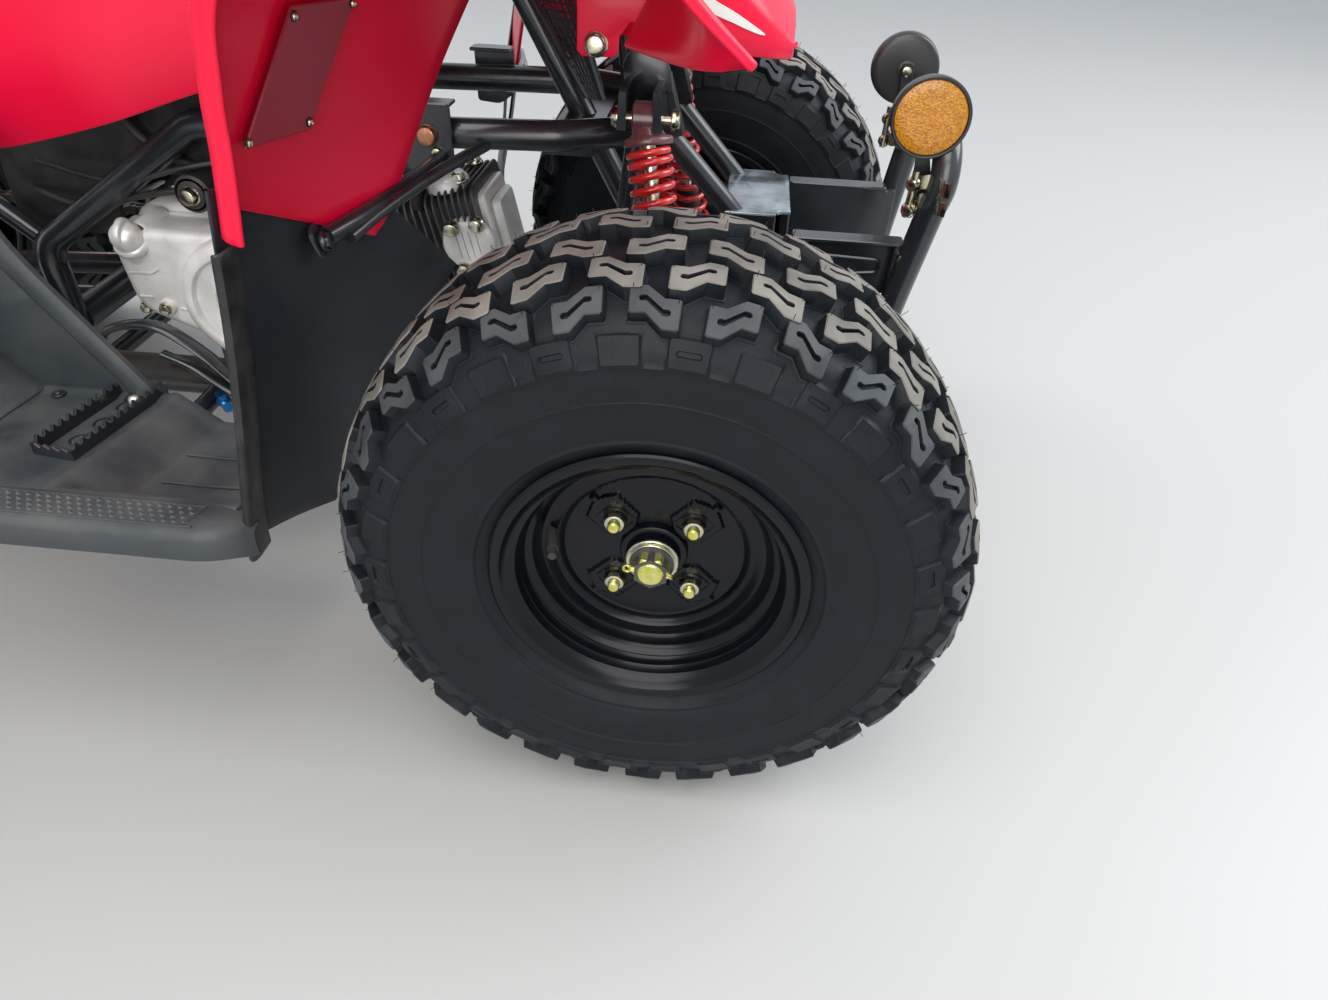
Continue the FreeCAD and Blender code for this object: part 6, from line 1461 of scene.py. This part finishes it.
grips.paired().piece("grips_ribbed", "steering", [grip_rubber], sharp=38, replaces="grips")

levers = Form()
CLAMP = [(0.06, 12), (0.06, 16.5), (0.07, 18), (0.16, 18), (0.17, 16.5), (0.17, 12)]
levers.turned([(share * bar_length, r) for share, r in CLAMP], bend, bar_way, 32)
pivot = bend + bar_way * 0.12 * bar_length + COLUMN_AHEAD * 34
tip = bend + bar_way * 0.86 * bar_length + COLUMN_AHEAD * 54
levers.bar([bend + bar_way * 0.115 * bar_length + COLUMN_AHEAD * 10, pivot], 9, 20)
middle = (pivot + tip) / 2
blade = [pivot, pivot * 0.7 + tip * 0.3 + COLUMN_AHEAD * 5, middle + COLUMN_AHEAD * 3,
         tip - COLUMN_AHEAD * 2, tip]
levers.bar(smooth_line(blade, 7), 5.0, 14, squash=0.7, slot=1)
levers.turned([(-4, 0.05), (-4, 4), (-2, 6.6), (2, 6.6), (4, 4), (4, 0.05)], tip, bar_way, 20, slot=1)
hexagon(levers, pivot + COLUMN_WAY * 8, COLUMN_WAY, across=10, height=5, slot=2, flange_r=7)
levers.paired().piece("brake_levers_cast", "steering", [black_cast, cast_alloy, zinc], sharp=38,
                      replaces="brake_levers")


# The final drive: a roller chain of figure-eight plates round a drilled steel sprocket on the left, and a
# drilled brake disc on the right. The chain is black with oil, and the disc is polished where the pads rub.
SPROCKET_Y, TEETH, SPROCKET_R, SPROCKET_HOLE_R, SPROCKET_HALF = 72.0, 37, 82.0, 62.0, 3.0
TOOTH_DEPTHS, SPOKES = (0, 1.2, 5.6, 5.6), 6
REAR_HUB, FRONT_SPROCKET, FRONT_R = np.array((-525.0, 228.5)), np.array((-20.0, 268.0)), 33.5
oily_steel = finish("oily_steel", (0.10, 0.095, 0.09), (0.20, 0.18, 0.15), 0.32, 0.2, scale=90, bump=0.2,
                    dust=0.1, metallic=0.8)
disc_steel = finish("disc_steel", (0.42, 0.42, 0.41), (0.30, 0.29, 0.27), 0.28, 0.2, scale=70, bump=0.15,
                    metallic=0.9)
carriers = Form()
rays = [ray(i * 90 / TEETH) for i in range(TEETH * 4)]
teeth = [(SPROCKET_R - TOOTH_DEPTHS[i % 4]) * way + REAR_HUB for i, way in enumerate(rays)]
opening = [SPROCKET_HOLE_R * way + REAR_HUB for way in rays]
faces = SPROCKET_Y - SPROCKET_HALF, SPROCKET_Y + SPROCKET_HALF
for y in faces:
    carriers.grid([[(x, y, z) for x, z in line] for line in (teeth, opening)], closed=True)
for line in (teeth, opening):
    carriers.grid([[(x, y, z) for x, z in line] for y in faces], closed=True)
for i in range(SPOKES):
    way, side = ray(60 * i + 30), ray(60 * i + 120)
    spoke = [REAR_HUB + way * r + side * w for r, w in ((27, -11), (64, -8), (64, 8), (27, 11))]
    carriers.prism(spoke, (0, 5.6, 0), (0, SPROCKET_Y - 2.8, 0), bevel=0.6)
    bolt = np.insert(REAR_HUB + way * 40, 1, SPROCKET_Y + SPROCKET_HALF)
    hexagon(carriers, bolt, TO_LEFT, across=11, height=6, slot=1)
carrier = [(-12, 15), (-12, 27), (-11, 28), (15, 28), (16, 27), (16, 15)]
carriers.turned(carrier, np.insert(REAR_HUB, 1, SPROCKET_Y), steps=48, slot=1)
DISC_Y, DISC_R, DISC_HALF, WAVE, WAVED_FROM, DISC_STEPS = -92.0, 92, 2.0, 1.6, 86, 144
HOLED_RINGS, HOLED_STEPS = range(4, 8), (4, 5)
round_disc = np.arange(DISC_STEPS) * 2 * math.pi / DISC_STEPS


def disc_ring(r, y):
    """A ring of the brake disc, which is waved outside the pads' track."""
    r = r + WAVE * np.sin(round_disc * 12) * (r > WAVED_FROM)
    return np.stack([REAR_HUB[0] + r * np.cos(round_disc), y + round_disc * 0,
                     REAR_HUB[1] + r * np.sin(round_disc)], 1)


for face in (-DISC_HALF, DISC_HALF):
    rings = [disc_ring(r, DISC_Y + face) for r in (28, 40, 56, 60, 70, 74, 78, 82, 86, 91.2)]
    rings.append(disc_ring(DISC_R, DISC_Y + face * 0.7))
    start = len(carriers.faces)
    carriers.grid(rings, closed=True, slot=2)
    holes = [start + i * DISC_STEPS + j for i in HOLED_RINGS for j in range(DISC_STEPS)
             if j % 12 in HOLED_STEPS]
    for index in holes[::-1]:
        del carriers.faces[index]
        del carriers.slots[index]
disc_edge = [disc_ring(DISC_R, DISC_Y + face * 0.7) for face in (-DISC_HALF, DISC_HALF)]
carriers.grid(disc_edge, closed=True, slot=2)
carriers.turned([(-14, 15), (-14, 28), (14, 28), (14, 15)], np.insert(REAR_HUB, 1, DISC_Y), steps=48,
                slot=1)
carriers.piece("sprocket_and_disc", "rear_wheels", [oily_steel, zinc, disc_steel], sharp=30,
               replaces="rear_carriers")

between = FRONT_SPROCKET - REAR_HUB
reach, base = np.hypot(*between), math.atan2(between[1], between[0])
chain_r, front_r = SPROCKET_R + 4, FRONT_R + 2
lean = math.acos((chain_r - front_r) / reach)
rear_arc = np.degrees(np.linspace(base + lean, base + 2 * math.pi - lean, 60))
front_arc = np.degrees(np.linspace(base - lean, base + lean, 30))
loop = [REAR_HUB + chain_r * ray(degrees) for degrees in rear_arc]
loop += [FRONT_SPROCKET + front_r * ray(degrees) for degrees in front_arc]
loop = np.array(loop + loop[:1])
reached = np.concatenate([[0], np.cumsum(np.linalg.norm(np.diff(loop, axis=0), axis=1))])
CHAIN_PITCH, LINK_END_R, LINK_WAIST, LINK_MM, INNER_HALF, OUTER_HALF = 12.7, 5.2, 3.8, 1.3, 4.3, 5.8
LINKS = int(round(reached[-1] / CHAIN_PITCH / 2)) * 2
at = np.linspace(0, reached[-1], LINKS, endpoint=False)
pins = np.stack([np.interp(at, reached, loop[:, 0]), np.interp(at, reached, loop[:, 1])], 1)
links = Form()
for i in range(LINKS):
    a, b = pins[i], pins[(i + 1) % LINKS]
    way = (b - a) / np.linalg.norm(b - a)
    side = np.array((-way[1], way[0]))
    plate = []
    for end, sign in ((a, 1), (b, -1)):
        for degrees in np.linspace(90 * sign + 15, 90 * sign + 165, 6):
            plate.append(end + LINK_END_R * (ray(degrees) @ (way, side)))
        plate.append((a + b) / 2 - side * LINK_WAIST * sign)
    wide_half = OUTER_HALF if i % 2 else INNER_HALF
    for sign in (-1, 1):
        links.prism(plate, (0, LINK_MM, 0), (0, SPROCKET_Y + sign * wide_half - LINK_MM / 2, 0))
    at = np.insert(a, 1, SPROCKET_Y)
    links.turned([(-3.4, 3.9), (3.4, 3.9)], at, steps=10)
    links.turned([(-7, 0.05), (-7, 1.9), (7, 1.9), (7, 0.05)], at, steps=8)
links.piece("roller_chain", "chassis", [oily_steel], sharp=40, replaces="chain")


# The rear lamp: a red prismatic lens on a black base, screwed to the tail. It holds stop and tail bulbs
# behind fine vertical flutes.
red_lens = finish("red_lens", (0.42, 0.006, 0.006), (0.56, 0.014, 0.012), 0.14, 0.05, scale=150, bump=0.1,
                  Coat_Weight=0.8)
rear_lamp = Form()
FLUTES, FLUTE_PITCH, FLUTE_R = 19, 6.1, 3.4
FLUTE = [(-748, 597), (-764, 599), (-765, 612), (-762, 624), (-752, 635), (-746, 638)]
for y in -56 + np.arange(FLUTES) * FLUTE_PITCH:
    rear_lamp.bar([(x, y, z) for x, z in FLUTE], FLUTE_R, 8)
rear_lamp.prism([(-745, 594), (-750, 594), (-750, 641), (-745, 641)], (0, 120, 0), (0, -60, 0), slot=1,
                bevel=1)
rear_lamp.piece("rear_lamp_fluted", "chassis", [red_lens, black_cast], sharp=38, replaces="tail_lamp")


# The studio: a pale floor under soft window light. The camera stands beside the right front wheel
# and looks down on it through a wide lens, tilted a little.
CAMERA_PLACE = Vector((0.5666, -0.90175, 0.69531))
CAMERA_YAW, CAMERA_PITCH, CAMERA_ROLL = 3.87, 37.53, -2.52
LENS_MM, SENSOR_MM = 24.40, 36.0
FLOOR_HALF = 9.0


def place_camera():
    yaw, pitch, roll = (math.radians(a) for a in (CAMERA_YAW, CAMERA_PITCH, CAMERA_ROLL))
    ahead = Vector((-math.sin(yaw) * math.cos(pitch), math.cos(yaw) * math.cos(pitch), -math.sin(pitch)))
    level = Vector((math.cos(yaw), math.sin(yaw), 0))
    under = ahead.cross(level)
    right = level * math.cos(roll) + under * math.sin(roll)
    down = under * math.cos(roll) - level * math.sin(roll)
    data = bpy.data.cameras.new("camera")
    data.sensor_width, data.lens = SENSOR_MM, LENS_MM
    camera = bpy.data.objects.new("camera", data)
    turn = Matrix((right, -down, -ahead)).transposed().to_4x4()
    camera.matrix_world = Matrix.Translation(CAMERA_PLACE) @ turn
    bpy.context.collection.objects.link(camera)
    bpy.context.scene.camera = camera


def area_light(name, place, aim, size, watts, colour):
    data = bpy.data.lights.new(name, "AREA")
    data.shape, data.size, data.energy, data.color = "SQUARE", size, watts, colour
    light = bpy.data.objects.new(name, data)
    light.location = place
    light.rotation_euler = (Vector(aim) - Vector(place)).to_track_quat("-Z", "Y").to_euler()
    bpy.context.collection.objects.link(light)


place_camera()
floor_mesh = bpy.data.meshes.new("floor")
floor_mesh.from_pydata([(x * FLOOR_HALF, y * FLOOR_HALF, 0) for x,
                        y in ((-1, -1), (1, -1), (1, 1), (-1, 1))], [], [(0, 1, 2, 3)])
floor = bpy.data.objects.new("floor", floor_mesh)
bpy.context.collection.objects.link(floor)
floor_paint = bpy.data.materials.new("floor_pale")
floor_paint.use_nodes = True
floor_paint.node_tree.nodes["Principled BSDF"].inputs["Base Color"].default_value = (0.44, 0.435, 0.42, 1)
floor_paint.node_tree.nodes["Principled BSDF"].inputs["Roughness"].default_value = 0.45
floor_mesh.materials.append(floor_paint)
world = bpy.data.worlds.new("studio")
world.use_nodes = True
world.node_tree.nodes["Background"].inputs["Color"].default_value = (0.86, 0.92, 1.0, 1.0)
world.node_tree.nodes["Background"].inputs["Strength"].default_value = 0.85
bpy.context.scene.world = world
area_light("window", (3.4, 0.6, 2.6), (0.4, 0.0, 0.3), 2.6, 118, (0.92, 0.96, 1.0))
area_light("ceiling", (0.2, -1.6, 3.2), (0.3, 0.0, 0.3), 2.4, 68, (1.0, 0.98, 0.94))
area_light("side", (0.5, -3.4, 1.5), (0.3, 0.0, 0.5), 2.2, 60, (1.0, 0.98, 0.96))
area_light("back", (-2.8, 1.6, 2.4), (-0.2, 0.0, 0.4), 2.0, 45, (1.0, 0.97, 0.93))
bpy.context.scene.view_settings.view_transform = "Standard"
